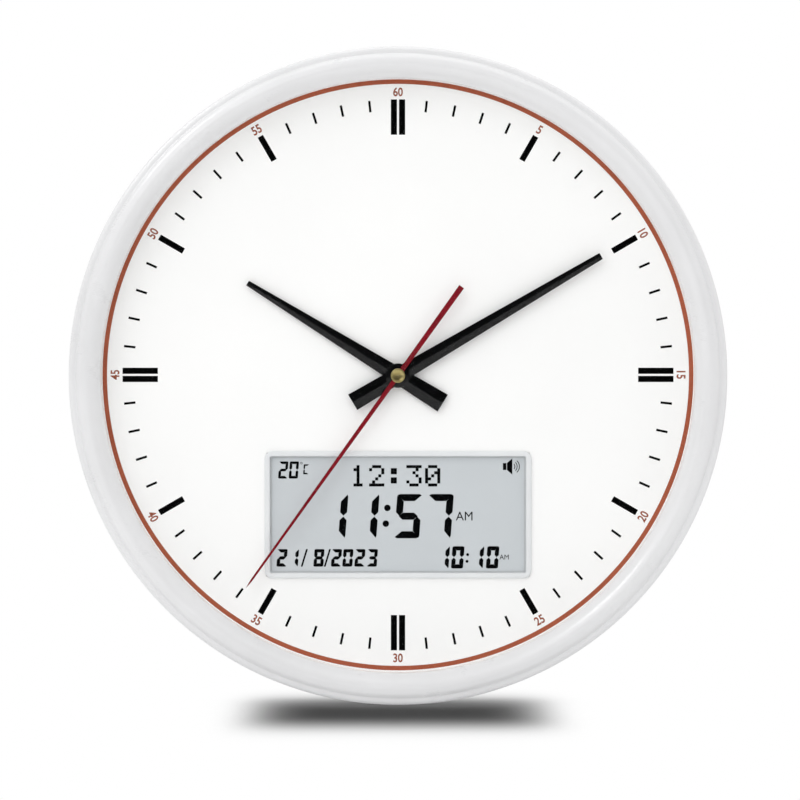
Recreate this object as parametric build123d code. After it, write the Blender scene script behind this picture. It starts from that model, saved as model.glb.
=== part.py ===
from build123d import *
import os
from math import atan2, cos, degrees, pi, radians, sin

# Round wall clock with an analogue dial, a digital prayer-time display and a speaker.
# Everything is modelled lying on its back: X right, Y up the dial, Z out from the wall.
# The last step stands the clock up, so that the dial faces -Y and the wall plane is Y = 0.
# Millimetres.

# Small round bars and holes have this many flat sides
PIN_SIDES = 12
SCREW_SIDES = 8

# How far a rib, boss or tube starts inside what carries it
BITE = 0.5

# Front ring
CASE_RADIUS = 160.0
BEZEL_WIDTH = 15.4
BEZEL_TIP = 1.0
BEZEL_WALL = 2.2
SLOPE_WIDTH, SLOPE_RISE = 3.9, 6.6
CROWN_IN_WIDTH, CROWN_IN_RISE = 5.0, 7.25
CREST_WIDTH, CREST_RISE = 6.6, 7.5
CROWN_OUT_WIDTH, CROWN_OUT_RISE = 8.4, 7.2
CROWN_WIDTH, CROWN_RISE = 10.0, 6.5
GROOVE_WIDTH, GROOVE_RISE = 11.3, 4.0
GROOVE_FLOOR = 0.6
LIP_RISE, LIP_SHOULDER_RISE = 4.6, 3.0
LIP_WIDTH = 1.2
SIDE_DRAFT = 0.5
LENS_LAP = 3.4
LENS_GAP = 0.3
LENS_REST = 1.2
CHEEK_DROP = 0.8
LUG_COUNT = 4
LUG_THICKNESS = 1.6
LUG_ROOT = 1.5

# Stack from the wall outwards
DIAL_BACK = 22.0
DIAL_THICKNESS = 2.0
DIAL_TO_LENS = 10.5
LENS_THICKNESS = 2.0
SPACER_WALL = 2.8

# Rear cover
COVER_WALL = 2.2
PANEL_STANDOFF = 3.0
RIM_INSET = 18.5
RIM_WIDTH = 8.0
RIM_DRAFT = 0.8
FLANGE_STANDOFF = 5.8
FLANGE_INSET = 0.7
GUSSET_LENGTH = 9.0
GUSSET_COUNT = 8
GUSSET_THICKNESS = 1.8
RIB_ANGLES = (60, 75, 105, 120, 195, 345)
RIB_INNER_RADIUS = 50.0
RIB_HEIGHT = 3.0
RIB_THICKNESS = 1.6

# Case screws, driven from behind
CASE_SCREWS = 6
CASE_SCREW_INSET = 6.9
CASE_SCREW_START = 30.0
SCREW_HEAD_RADIUS = 2.6
SCREW_HEAD_HEIGHT = 1.8
SCREW_RADIUS = 1.3
SCREW_HOLE_RADIUS = 1.6
CASE_SCREW_LENGTH = 11.0
PILOT_RUNOUT = 0.5
BOSS_RADIUS = 3.0

# Keyhole hanger
KEYHOLE_INSET = 29.5
KEYHOLE_RADIUS = 4.5
KEYHOLE_SLOT = 4.4
KEYHOLE_RISE = 10.0

# Quartz movement
MOVEMENT_SPRING_LENGTH = 1.9
MOVEMENT_DEPTH = 15.9
MOVEMENT_WALL = 1.4
MOVEMENT_SPLIT = 4.4
MOVEMENT_WINDOW_GAP = 2.0
DIAL_WASHER_THICKNESS = 1.5
DIAL_WASHER_RADIUS = 9.0
BUSH_RADIUS = 4.0
BUSH_STAND = 2.3
DIAL_HOLE_RADIUS = 4.2
NUT_ACROSS_FLATS = 10.0
NUT_HEIGHT = 1.6
NUT_WASHER_RADIUS = 5.7
NUT_WASHER_THICKNESS = 0.6

# Cells: AA size
CELL_RADIUS = 7.1
CELL_LENGTH = 50.5
CELL_NUB_RADIUS = 2.7
CELL_NUB_HEIGHT = 1.0
CELL_GAP = 0.15
CONTACT_THICKNESS, CONTACT_SIZE = 0.4, 9.0
SPRING_BASE_RADIUS, SPRING_TIP_RADIUS = 4.2, 2.6

# Gear train: teeth, modules and the angle from each arbor to the next
ROTOR_PINION_TEETH = 6
INTERMEDIATE_WHEEL_TEETH, INTERMEDIATE_PINION_TEETH = 30, 6
SECOND_WHEEL_TEETH, SECOND_PINION_TEETH = 36, 6
THIRD_WHEEL_TEETH, THIRD_PINION_TEETH = 45, 6
CENTRE_WHEEL_TEETH, CANNON_PINION_TEETH = 48, 8
MINUTE_WHEEL_TEETH, MINUTE_PINION_TEETH = 24, 6
HOUR_WHEEL_TEETH = 24
SETTING_GEAR_TEETH = 12
ROTOR_MODULE = 0.36
SECOND_MODULE = 0.42
THIRD_MODULE = 0.42
MOTION_MODULE = 0.62
MESH_SLACK = 0.06

# Tooth forms, in modules and in shares of a pitch on each side of the tooth's middle
WHEEL_ADDENDUM_RATIO, WHEEL_DEDENDUM_RATIO, WHEEL_TIP_SHARE = 0.85, 1.5, 0.08
LEAF_ADDENDUM_RATIO, LEAF_DEDENDUM_RATIO = 0.75, 1.25
LEAF_TIP_SHARE, LEAF_ROOT_SHARE = 0.07, 0.19

# Arbors
THIRD_ANGLE = 150.0
INTERMEDIATE_ANGLE = 0.0
ROTOR_ANGLE = -10.0
MINUTE_ANGLE = 60.0
SETTING_ANGLE = 36.0
WHEEL_THICKNESS = 0.8
PINION_OVERLAP = 0.2
RUNNING_GAP = 0.3
PIVOT_GAP = 0.05
PIVOT_DEPTH = 0.9
PIVOT_END_GAP = 0.1
ARBOR_RADIUS = 0.5
ROTOR_PIVOT_RADIUS = 0.35
CANNON_RADIUS = 1.6
HOUR_TUBE_RADIUS = 2.55
POST_SIZE = 2.2
SETTING_SHAFT_RADIUS = 1.5
SETTING_KNOB_RADIUS = 5.2
SETTING_KNOB_THICKNESS = 1.9

# Heights in the train, above the inside of the movement's back
ROTOR_RISE, ROTOR_MAGNET_HEIGHT, ROTOR_MAGNET_RADIUS = 1.2, 2.2, 3.0
SECOND_RISE = 2.0
STATOR_RISE, STATOR_THICKNESS = 2.2, 1.0
STATOR_GAP, STATOR_BRIDGE = 0.5, 0.8
INTERMEDIATE_RISE = 3.9
THIRD_RISE = 4.0
PLATE_THICKNESS = 0.8
MINUTE_LIFT = 0.8
HOUR_LIFT = 1.2
STATOR_FOOT, STATOR_ARM, STATOR_SPINE, STATOR_REACH = 5.0, 2.6, 1.4, 1.6
COIL_X, COIL_LOW, COIL_HIGH = 22.9, 3.0, 23.0
COIL_RADIUS, WINDING_RADIUS, COIL_FLANGE = 3.3, 2.8, 0.8
CORE_WIDTH, CORE_THICKNESS, CORE_LAP = 2.6, 1.0, 2.5
SPINE_X = 17.7
BEARING_WALL = 1.0
PARTITION_THICKNESS = 1.0
PLATE_LEFT, PLATE_RIGHT, PLATE_TOP = -26.4, 19.0, 20.5
POST_PLACES = ((-24.0, -8.5), (-24.0, 10.5), (17.0, -8.5), (4.0, 18.9))
MOVEMENT_BOARD_WIDTH, MOVEMENT_BOARD_HEIGHT, MOVEMENT_BOARD_THICKNESS = 18.0, 11.0, 1.0
MOVEMENT_BOARD_X, MOVEMENT_BOARD_Y = -15.5, 19.5
CRYSTAL_RADIUS, CRYSTAL_LENGTH = 1.0, 6.0
CELL_OPENING_SLACK = 1.0

# Hands: clock angles and lengths from the axis
HOUR_ANGLE, HOUR_LENGTH, HOUR_TAIL = 301.6, 86.4, 25.7
HOUR_TIP_WIDTH, HOUR_TAIL_WIDTH = 2.4, 9.8
MINUTE_HAND_ANGLE, MINUTE_LENGTH, MINUTE_TAIL = 59.5, 115.2, 25.7
MINUTE_TIP_WIDTH, MINUTE_TAIL_WIDTH = 3.1, 8.7
SECOND_ANGLE, SECOND_LENGTH, SECOND_TAIL = 215.6, 127.5, 53.4
SECOND_TIP_WIDTH, SECOND_TAIL_WIDTH = 0.7, 2.6
HAND_EDGE, HAND_RIDGE = 0.35, 0.9
HAND_BOSS_RADIUS = 6.0
HAND_BOSS_HEIGHT = 1.5
SECOND_HAND_THICKNESS = 0.6
SECOND_HUB_RADIUS = 3.0
CAP_RADIUS, CAP_HEIGHT, CAP_ROOF = 3.5, 1.5, 0.6
HAND_GAP = 0.3
HAND_OVER_FRAME = 0.7
PRESS_GAP = 0.02

# Display
DISPLAY_Y = -68.1
FRAME_WIDTH, FRAME_HEIGHT, FRAME_CORNER = 130.8, 62.5, 4.0
FRAME_BAR = 2.75
FRAME_PROUD = 1.8
FRAME_BEVEL = 0.8
SKIRT_WIDTH, SKIRT_HEIGHT = 128.5, 60.3
DISPLAY_FIT = 0.3
DISPLAY_SINK = 1.2
POLARISER_THICKNESS, POLARISER_MARGIN = 0.2, 0.4
GLASS_THICKNESS = 1.1
CONTACT_LEDGE = 1.7
REFLECTOR_THICKNESS = 0.3
REFLECTOR_MARGIN = 3.0
HOLDER_WALL = 3.0
HOLDER_FLOOR = 1.6
UNDERSIDE_MARGIN_X, UNDERSIDE_MARGIN_Y = 2.0, 6.0
HOLDER_BACK = 14.0
STRIP_WIDTH = 2.0
STRIP_GAP = 0.2
STRIP_MARGIN = 8.0
BOARD_THICKNESS = 1.6
MODULE_SCREW_INSET = 2.2
MODULE_SCREW_RADIUS, MODULE_SCREW_LENGTH, MODULE_SCREW_SLACK = 0.8, 5.0, 0.2
MODULE_HEAD_RADIUS, MODULE_HEAD_HEIGHT = 1.9, 1.3
CHIP_RISE, CHIP_HEIGHT = 14.0, 1.6
CLOCK_CHIP_X, CLOCK_CHIP_SIZE = -20.0, 14.0
VOICE_CHIP_X, VOICE_CHIP_LENGTH, VOICE_CHIP_WIDTH = 8.0, 8.0, 5.4
BOARD_CRYSTAL_X, BOARD_CRYSTAL_LENGTH, BOARD_CRYSTAL_WIDTH, BOARD_CRYSTAL_HEIGHT = 26.0, 8.0, 3.0, 2.4
CAPACITOR_X, CAPACITOR_PITCH, CAPACITOR_RADIUS, CAPACITOR_HEIGHT = 42.0, 10.0, 2.8, 5.5

# Keys and switch
KEY_COUNT = 5
KEY_PITCH = 16.0
KEY_X, KEY_DROP = -42.0, 9.0
KEY_WIDTH, KEY_HEIGHT, KEY_PROUD = 9.0, 5.0, 1.6
KEY_FLANGE = 1.1
KEY_FLANGE_HEIGHT = 1.0
KEY_STEM = 3.0
KEY_GAP = 0.3
KEY_REST_GAP = 0.75
TACT_SIZE, TACT_HEIGHT = 6.0, 3.5
TACT_PLUNGER_RADIUS, TACT_PLUNGER_HEIGHT = 1.7, 0.8
SWITCH_X = 48.0
SWITCH_LENGTH, SWITCH_WIDTH, SWITCH_HEIGHT = 8.6, 3.8, 3.6
SWITCH_THROW = 2.0
SWITCH_STEM, SWITCH_STEM_DEPTH = 1.5, 0.9
SWITCH_CAP_LENGTH, SWITCH_CAP_WIDTH, SWITCH_CAP_PROUD, SWITCH_CAP_RISE = 3.0, 2.6, 1.4, 1.0

# Speaker
SPEAKER_INSET, SPEAKER_Y = 53.5, 30.0
SPEAKER_RADIUS = 28.5
SPEAKER_LIP = 1.2
SPEAKER_FLANGE = 3.0
SPEAKER_DEPTH = 10.0
BASKET_WALL = 0.8
BASKET_FLOOR_RADIUS = 15.0
CONE_THROAT, CONE_SINK = 7.0, 0.6
CONE_WALL, THROAT_GAP = 0.6, 1.5
DUST_CAP_RADIUS, DUST_CAP_HEIGHT = 4.5, 2.0
MAGNET_RADIUS, MAGNET_HEIGHT = 14.0, 5.5
SPEAKER_BOSS_RADIUS = 2.0
SPEAKER_BOSS_GAP = 0.1
SPEAKER_HEAD_RADIUS = 2.9
SPEAKER_SCREW_RADIUS = 1.0
SPEAKER_SCREW_DEPTH = 2.4
SLOT_COUNT, SLOT_WIDTH, SLOT_PITCH = 9, 2.4, 5.0
SLOT_FIELD_RADIUS = 23.0

# Battery box for two cells, in the rear cover
BOX_INSET, BOX_Y = 55.5, 30.0
BOX_SPRING_LENGTH = 5.7
BOX_WIDTH = 30.4
BOX_FRONT = 21.6
BOX_WALL = 1.6
DOOR_LAP = 2.0
DOOR_THICKNESS = 1.5
DOOR_GAP = 0.25
RAIL_LIP, RAIL_OVER = 0.7, 1.6
RAIL_WALL = 1.8
GRIP_COUNT, GRIP_PITCH, GRIP_LENGTH, GRIP_WIDTH, GRIP_DEPTH = 5, 3.0, 20.0, 1.0, 0.5

# Heights that follow from the stack
dial_face = DIAL_BACK + DIAL_THICKNESS
lens_back = dial_face + DIAL_TO_LENS
ledge = lens_back + LENS_THICKNESS
opening_radius = CASE_RADIUS - BEZEL_WIDTH
lens_radius = opening_radius + LENS_LAP
panel_front = PANEL_STANDOFF + COVER_WALL
flange_front = FLANGE_STANDOFF + COVER_WALL
boss_circle = CASE_RADIUS - CASE_SCREW_INSET
rim_inner_radius = CASE_RADIUS - RIM_INSET
keyhole_height = rim_inner_radius - KEYHOLE_INSET
speaker_x = rim_inner_radius - SPEAKER_INSET
box_x = BOX_INSET - rim_inner_radius

contact_room = CELL_LENGTH + 2 * CONTACT_THICKNESS
box_length = contact_room + BOX_SPRING_LENGTH
movement_size = contact_room + MOVEMENT_SPRING_LENGTH + 2 * MOVEMENT_WALL
movement_front = DIAL_BACK - DIAL_WASHER_THICKNESS
movement_back = movement_front - MOVEMENT_DEPTH
movement_seam = movement_back + MOVEMENT_SPLIT
train_floor = movement_back + MOVEMENT_WALL
train_roof = movement_front - MOVEMENT_WALL
train_half = movement_size / 2 - MOVEMENT_WALL
movement_cell_y = -train_half + CELL_GAP + CELL_RADIUS
movement_cell_z = train_floor + CELL_RADIUS - MOVEMENT_WALL / 2
partition_y = movement_cell_y + CELL_RADIUS + CELL_GAP

second_z = train_floor + SECOND_RISE
intermediate_z = train_floor + INTERMEDIATE_RISE
third_z = train_floor + THIRD_RISE
rotor_z = train_floor + ROTOR_RISE
stator_z = train_floor + STATOR_RISE
plate_z = third_z + WHEEL_THICKNESS + RUNNING_GAP
centre_z = plate_z + PLATE_THICKNESS + RUNNING_GAP
minute_z = centre_z + WHEEL_THICKNESS + MINUTE_LIFT
hour_z = minute_z + WHEEL_THICKNESS + HOUR_LIFT

frame_top = dial_face + FRAME_PROUD
hour_hand_z = frame_top + HAND_OVER_FRAME
minute_hand_z = hour_hand_z + HAND_BOSS_HEIGHT + HAND_GAP
second_hand_z = minute_hand_z + HAND_BOSS_HEIGHT + HAND_GAP
cap_z = second_hand_z + SECOND_HAND_THICKNESS
bush_top = dial_face + BUSH_STAND

glass_top = dial_face - DISPLAY_SINK - POLARISER_THICKNESS
rear_glass_top = glass_top - GLASS_THICKNESS
reflector_top = rear_glass_top - GLASS_THICKNESS
holder_pocket = reflector_top - REFLECTOR_THICKNESS
board_back = HOLDER_BACK - BOARD_THICKNESS
tact_back = board_back - TACT_HEIGHT
plunger_back = tact_back - TACT_PLUNGER_HEIGHT
display_width = SKIRT_WIDTH - 2 * DISPLAY_FIT
display_height = SKIRT_HEIGHT - 2 * DISPLAY_FIT
key_y = DISPLAY_Y - KEY_DROP


# Basic forms

def disc(radius, bottom, top, x=0, y=0):
    """Round bar square to the wall, between two heights."""
    base = (Align.CENTER, Align.CENTER, Align.MIN)
    return Pos(x, y, bottom) * Cylinder(radius, top - bottom, align=base)


def pin(radius, bottom, top, x=0, y=0, sides=PIN_SIDES):
    """Small round bar drawn with a few flat sides, its corners at the radius."""
    return extrude(Pos(x, y, bottom) * RegularPolygon(radius, sides), top - bottom)


def bore(radius, bottom, top, x=0, y=0, sides=PIN_SIDES):
    """Small round hole drawn with a few flat sides, which stand at the radius."""
    section = RegularPolygon(radius, sides, major_radius=False)
    return extrude(Pos(x, y, bottom) * section, top - bottom)


def tapered(low_radius, high_radius, bottom, top, sides=PIN_SIDES):
    """Cone frustum drawn with a few flat sides."""
    narrowing = (low_radius - high_radius) * cos(pi / sides)
    slope = degrees(atan2(narrowing, top - bottom))
    return extrude(Pos(0, 0, bottom) * RegularPolygon(low_radius, sides), top - bottom, taper=slope)


def block(width, height, bottom, top, x=0, y=0):
    """Rectangular block between two heights."""
    base = (Align.CENTER, Align.CENTER, Align.MIN)
    return Pos(x, y, bottom) * Box(width, height, top - bottom, align=base)


def slab(width, height, corner, bottom, top, x=0, y=0):
    """Block with rounded upright edges between two heights."""
    return extrude(Pos(x, y, bottom) * RectangleRounded(width, height, corner), top - bottom)


def turned(points):
    """Solid turned about the clock's axis from (radius, height) points."""
    return revolve(Rot(90, 0, 0) * make_face(Polyline(points, close=True)), Axis.Z)


def fused(pieces):
    """One solid from a list of overlapping pieces."""
    whole = pieces[0]
    for piece in pieces[1:]:
        whole = whole + piece
    return whole


# Case

def front_frame():
    """Bezel moulding: sloped inner wall, round crown, groove, outer lip and a plain side."""
    tip = (opening_radius, ledge + BEZEL_TIP)
    slope_end = (opening_radius + SLOPE_WIDTH, ledge + SLOPE_RISE)
    crown_in = (opening_radius + CROWN_IN_WIDTH, ledge + CROWN_IN_RISE)
    crest = (opening_radius + CREST_WIDTH, ledge + CREST_RISE)
    crown_out = (opening_radius + CROWN_OUT_WIDTH, ledge + CROWN_OUT_RISE)
    crown_end = (opening_radius + CROWN_WIDTH, ledge + CROWN_RISE)
    groove = (opening_radius + GROOVE_WIDTH, ledge + GROOVE_RISE)
    lip_start = (groove[0] + GROOVE_FLOOR, groove[1])
    lip_top = (CASE_RADIUS - LIP_WIDTH, ledge + LIP_RISE)
    shoulder = (CASE_RADIUS, ledge + LIP_SHOULDER_RISE)
    side_end = (CASE_RADIUS - SIDE_DRAFT, flange_front)
    inner_end = (side_end[0] - BEZEL_WALL, flange_front)
    inner_top = (inner_end[0], groove[1] - BEZEL_WALL - CHEEK_DROP)
    under_crest = (crest[0], crest[1] - BEZEL_WALL)
    shell = turned([
        tip, slope_end, crown_in, crest, crown_out, crown_end, groove, lip_start, lip_top, shoulder,
        side_end, inner_end, inner_top, under_crest, (lens_radius + LENS_REST, ledge), (opening_radius, ledge),
    ])
    lug_start = lens_radius + LENS_GAP
    lug_length = inner_end[0] - lug_start + BITE
    lug = block(lug_length, LUG_THICKNESS, dial_face, ledge + LUG_ROOT, lug_start + lug_length / 2)
    boss_length = inner_end[0] - boss_circle + BOSS_RADIUS + BITE
    boss_x = boss_circle - BOSS_RADIUS + boss_length / 2
    boss = block(boss_length, 2 * BOSS_RADIUS, flange_front, inner_top[1] + BITE, boss_x)
    pilot = bore(SCREW_RADIUS, flange_front, flange_front + CASE_SCREW_LENGTH + PILOT_RUNOUT, boss_circle,
                 sides=SCREW_SIDES)
    for place in PolarLocations(0, LUG_COUNT):
        shell += place * lug
    for place in case_screw_places():
        shell += place * boss
        shell -= place * pilot
    return shell


def case_screw_places():
    """Turns that carry a thing on the X axis to each case screw."""
    return PolarLocations(0, CASE_SCREWS, CASE_SCREW_START)


def lens():
    """Flat clear pane behind the bezel's ledge."""
    return disc(lens_radius, lens_back, ledge)


def dial_spacer_ring():
    """Sleeve that holds the pane off the dial."""
    outer = lens_radius - PIVOT_GAP
    return disc(outer, dial_face, lens_back) - disc(outer - SPACER_WALL, dial_face, lens_back)


def dial_plate():
    """Flat dial with the hole for the hands' bush and the window for the display."""
    plate = disc(lens_radius - PIVOT_GAP, DIAL_BACK, dial_face)
    window = block(SKIRT_WIDTH + 2 * DISPLAY_FIT, SKIRT_HEIGHT + 2 * DISPLAY_FIT, DIAL_BACK, dial_face,
                   0, DISPLAY_Y)
    return plate - window - bore(DIAL_HOLE_RADIUS, DIAL_BACK, dial_face, sides=2 * PIN_SIDES)


def keyhole():
    """Entry hole for a screw head with a narrow slot above it."""
    entry = disc(KEYHOLE_RADIUS, PANEL_STANDOFF, panel_front, 0, keyhole_height)
    slot = block(KEYHOLE_SLOT, KEYHOLE_RISE, PANEL_STANDOFF, panel_front, 0,
                 keyhole_height + KEYHOLE_RISE / 2)
    slot_end = disc(KEYHOLE_SLOT / 2, PANEL_STANDOFF, panel_front, 0, keyhole_height + KEYHOLE_RISE)
    return entry + slot + slot_end


def speaker_slots():
    """Parallel sound slots that fill a round field."""
    slots = []
    for index in range(SLOT_COUNT):
        offset = (index - (SLOT_COUNT - 1) / 2) * SLOT_PITCH
        length = 2 * (SLOT_FIELD_RADIUS ** 2 - offset ** 2) ** 0.5
        slots.append(block(length, SLOT_WIDTH, PANEL_STANDOFF, panel_front,
                           speaker_x, SPEAKER_Y + offset))
    return slots


def speaker_screw_places():
    """Three places just outside the speaker's flange."""
    circle = SPEAKER_RADIUS + SPEAKER_BOSS_GAP + SPEAKER_BOSS_RADIUS
    return [Pos(speaker_x, SPEAKER_Y) * place for place in PolarLocations(circle, 3, 90)]


def battery_box():
    """Closed walls and front of the battery box, as the outside block and the hollow."""
    outside = block(box_length + 2 * BOX_WALL, BOX_WIDTH + 2 * BOX_WALL, PANEL_STANDOFF, BOX_FRONT,
                    box_x, BOX_Y)
    hollow = block(box_length, BOX_WIDTH, PANEL_STANDOFF, BOX_FRONT - BOX_WALL, box_x, BOX_Y)
    return outside, hollow


def door_rails():
    """Pair of hooked rails that the battery door slides in."""
    door_edge = box_length / 2 + DOOR_LAP
    back = PANEL_STANDOFF - 2 * DOOR_GAP - DOOR_THICKNESS - RAIL_LIP
    length = BOX_WIDTH + 2 * DOOR_LAP
    rails = []
    for side in (-1, 1):
        wall_x = box_x + side * (door_edge + DOOR_GAP + RAIL_WALL / 2)
        lip_x = wall_x - side * RAIL_OVER / 2
        wall = block(RAIL_WALL, length, back, PANEL_STANDOFF + BITE, wall_x, BOX_Y)
        lip = block(RAIL_WALL + RAIL_OVER, length, back, back + RAIL_LIP, lip_x, BOX_Y)
        rails.append(wall + lip)
    return rails


def rear_cover():
    """Dished back: panel, hollow rim that meets the wall, flange, gussets under the dial, ribs."""
    rim_outer = rim_inner_radius + RIM_WIDTH
    flange_radius = CASE_RADIUS - FLANGE_INSET
    outline = [
        (0, PANEL_STANDOFF), (rim_inner_radius, PANEL_STANDOFF), (rim_inner_radius, 0),
        (rim_outer, 0), (rim_outer + RIM_DRAFT, FLANGE_STANDOFF), (flange_radius, FLANGE_STANDOFF),
        (flange_radius, flange_front), (rim_outer - COVER_WALL, flange_front),
        (rim_outer - COVER_WALL, COVER_WALL), (rim_inner_radius + COVER_WALL, COVER_WALL),
        (rim_inner_radius + COVER_WALL, panel_front), (0, panel_front),
    ]
    cover = turned(outline)
    gusset_end = rim_outer - COVER_WALL
    gusset = block(GUSSET_LENGTH, GUSSET_THICKNESS, PANEL_STANDOFF + BITE, DIAL_BACK,
                   gusset_end - GUSSET_LENGTH / 2)
    for place in PolarLocations(0, GUSSET_COUNT, 180 / GUSSET_COUNT):
        cover += place * gusset
    rib_end = rim_inner_radius
    rib = block(rib_end - RIB_INNER_RADIUS, RIB_THICKNESS, panel_front - BITE,
                panel_front + RIB_HEIGHT, (rib_end + RIB_INNER_RADIUS) / 2)
    for angle in RIB_ANGLES:
        cover += Rot(0, 0, angle) * rib
    box_outside, box_hollow = battery_box()
    cover = cover + box_outside - box_hollow
    for rail in door_rails():
        cover += rail
    boss_top = panel_front + SPEAKER_LIP
    for place in speaker_screw_places():
        cover += place * pin(SPEAKER_BOSS_RADIUS, panel_front - BITE, boss_top)
    window = movement_size + 2 * MOVEMENT_WINDOW_GAP
    cuts = [
        block(window, window, PANEL_STANDOFF, panel_front),
        keyhole(),
        block(SWITCH_CAP_LENGTH + SWITCH_THROW + 2 * KEY_GAP, SWITCH_CAP_WIDTH + 2 * KEY_GAP,
              PANEL_STANDOFF, panel_front, SWITCH_X + SWITCH_THROW / 2, key_y),
    ]
    cuts += speaker_slots()
    for place in speaker_screw_places():
        cuts.append(place * bore(SPEAKER_SCREW_RADIUS, boss_top - SPEAKER_SCREW_DEPTH - PILOT_RUNOUT, boss_top,
                                 sides=SCREW_SIDES))
    for x in key_places():
        cuts.append(block(KEY_WIDTH + 2 * KEY_GAP, KEY_HEIGHT + 2 * KEY_GAP, PANEL_STANDOFF, panel_front,
                          x, key_y))
    for place in case_screw_places():
        cuts.append(place * bore(SCREW_HOLE_RADIUS, FLANGE_STANDOFF, flange_front, boss_circle,
                                 sides=SCREW_SIDES))
    return cover - cuts


def screw(head_radius, head_height, radius, seat, tip):
    """Screw that stands on its head: head below the seat, shank up to the tip."""
    head = pin(head_radius, seat - head_height, seat, sides=SCREW_SIDES)
    return head + pin(radius, seat, tip, sides=SCREW_SIDES)


def case_screws():
    """Pan-head screws through the rear cover's flange into the front ring's bosses."""
    one = Pos(boss_circle, 0) * screw(SCREW_HEAD_RADIUS, SCREW_HEAD_HEIGHT, SCREW_RADIUS,
                                      FLANGE_STANDOFF, flange_front + CASE_SCREW_LENGTH)
    return Compound([place * one for place in case_screw_places()])


# Hands

def hand_blade(length, tail, tip_width, tail_width, base):
    """Tapered pressed blade along +Y with a ridge down its middle."""
    def section(y, width):
        points = [(-width / 2, 0), (width / 2, 0), (width / 2, HAND_EDGE), (0, HAND_RIDGE),
                  (-width / 2, HAND_EDGE)]
        return Pos(0, y, base) * Rot(90, 0, 0) * Polygon(*points, align=None)
    return loft([section(-tail, tail_width), section(length, tip_width)], ruled=True)


def clock_angle(degrees):
    """Rotation that points a hand drawn along +Y at a clock angle."""
    return Rot(0, 0, -degrees)


def hour_hand():
    blade = hand_blade(HOUR_LENGTH, HOUR_TAIL, HOUR_TIP_WIDTH, HOUR_TAIL_WIDTH, hour_hand_z)
    boss = pin(HAND_BOSS_RADIUS, hour_hand_z, hour_hand_z + HAND_BOSS_HEIGHT, sides=2 * PIN_SIDES)
    hole = bore(HOUR_TUBE_RADIUS + PRESS_GAP, hour_hand_z, hour_hand_z + HAND_BOSS_HEIGHT)
    return clock_angle(HOUR_ANGLE) * (blade + boss - hole)


def minute_hand():
    blade = hand_blade(MINUTE_LENGTH, MINUTE_TAIL, MINUTE_TIP_WIDTH, MINUTE_TAIL_WIDTH, minute_hand_z)
    boss = pin(HAND_BOSS_RADIUS, minute_hand_z, minute_hand_z + HAND_BOSS_HEIGHT, sides=2 * PIN_SIDES)
    hole = bore(CANNON_RADIUS + PRESS_GAP, minute_hand_z, minute_hand_z + HAND_BOSS_HEIGHT)
    return clock_angle(MINUTE_HAND_ANGLE) * (blade + boss - hole)


def second_hand():
    """Thin flat hand with a blunt counterweight tail and a sharp tip."""
    outline = [(-SECOND_TAIL_WIDTH / 2, -SECOND_TAIL), (SECOND_TAIL_WIDTH / 2, -SECOND_TAIL),
               (SECOND_TIP_WIDTH / 2, SECOND_LENGTH), (-SECOND_TIP_WIDTH / 2, SECOND_LENGTH)]
    blade = extrude(Pos(0, 0, second_hand_z) * Polygon(*outline, align=None), SECOND_HAND_THICKNESS)
    hub = pin(SECOND_HUB_RADIUS, second_hand_z, cap_z)
    hole = bore(ARBOR_RADIUS + PRESS_GAP, second_hand_z, cap_z)
    return clock_angle(SECOND_ANGLE) * (blade + hub - hole)


def second_hand_cap():
    """Brass cap pressed on the second arbor over the hand."""
    cap = pin(CAP_RADIUS, cap_z, cap_z + CAP_HEIGHT, sides=2 * PIN_SIDES)
    return cap - bore(ARBOR_RADIUS + PRESS_GAP, cap_z, cap_z + CAP_HEIGHT - CAP_ROOF)


def hand_nut():
    """Hexagon nut that clamps the dial to the movement."""
    bottom = dial_face + NUT_WASHER_THICKNESS
    radius = NUT_ACROSS_FLATS / 2 / cos(pi / 6)
    hexagon = extrude(Pos(0, 0, bottom) * RegularPolygon(radius, 6), NUT_HEIGHT)
    return hexagon - bore(BUSH_RADIUS + PRESS_GAP, bottom, bottom + NUT_HEIGHT)


def nut_washer():
    top = dial_face + NUT_WASHER_THICKNESS
    return pin(NUT_WASHER_RADIUS, dial_face, top) - bore(BUSH_RADIUS + PRESS_GAP, dial_face, top)


def dial_washer():
    """Rubber washer between movement and dial."""
    washer = pin(DIAL_WASHER_RADIUS, movement_front, DIAL_BACK)
    return washer - bore(BUSH_RADIUS + PRESS_GAP, movement_front, DIAL_BACK)


# Gear train

def centre_distance(first_teeth, second_teeth, module):
    return (first_teeth + second_teeth) * module / 2 + MESH_SLACK


def step(origin, angle, distance):
    """Place reached from an arbor at an angle and a distance."""
    return (origin[0] + distance * cos(radians(angle)), origin[1] + distance * sin(radians(angle)))


axis = (0.0, 0.0)
third_distance = centre_distance(SECOND_PINION_TEETH, THIRD_WHEEL_TEETH, THIRD_MODULE)
centre_module = 2 * (third_distance - MESH_SLACK) / (THIRD_PINION_TEETH + CENTRE_WHEEL_TEETH)
minute_distance = centre_distance(CANNON_PINION_TEETH, MINUTE_WHEEL_TEETH, MOTION_MODULE)
hour_module = 2 * (minute_distance - MESH_SLACK) / (MINUTE_PINION_TEETH + HOUR_WHEEL_TEETH)
third_place = step(axis, THIRD_ANGLE, third_distance)
intermediate_place = step(
    axis, INTERMEDIATE_ANGLE, centre_distance(INTERMEDIATE_PINION_TEETH, SECOND_WHEEL_TEETH, SECOND_MODULE))
rotor_place = step(
    intermediate_place, ROTOR_ANGLE, centre_distance(ROTOR_PINION_TEETH, INTERMEDIATE_WHEEL_TEETH, ROTOR_MODULE))
minute_place = step(axis, MINUTE_ANGLE, minute_distance)
setting_place = step(
    minute_place, SETTING_ANGLE, centre_distance(MINUTE_WHEEL_TEETH, SETTING_GEAR_TEETH, MOTION_MODULE))


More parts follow.
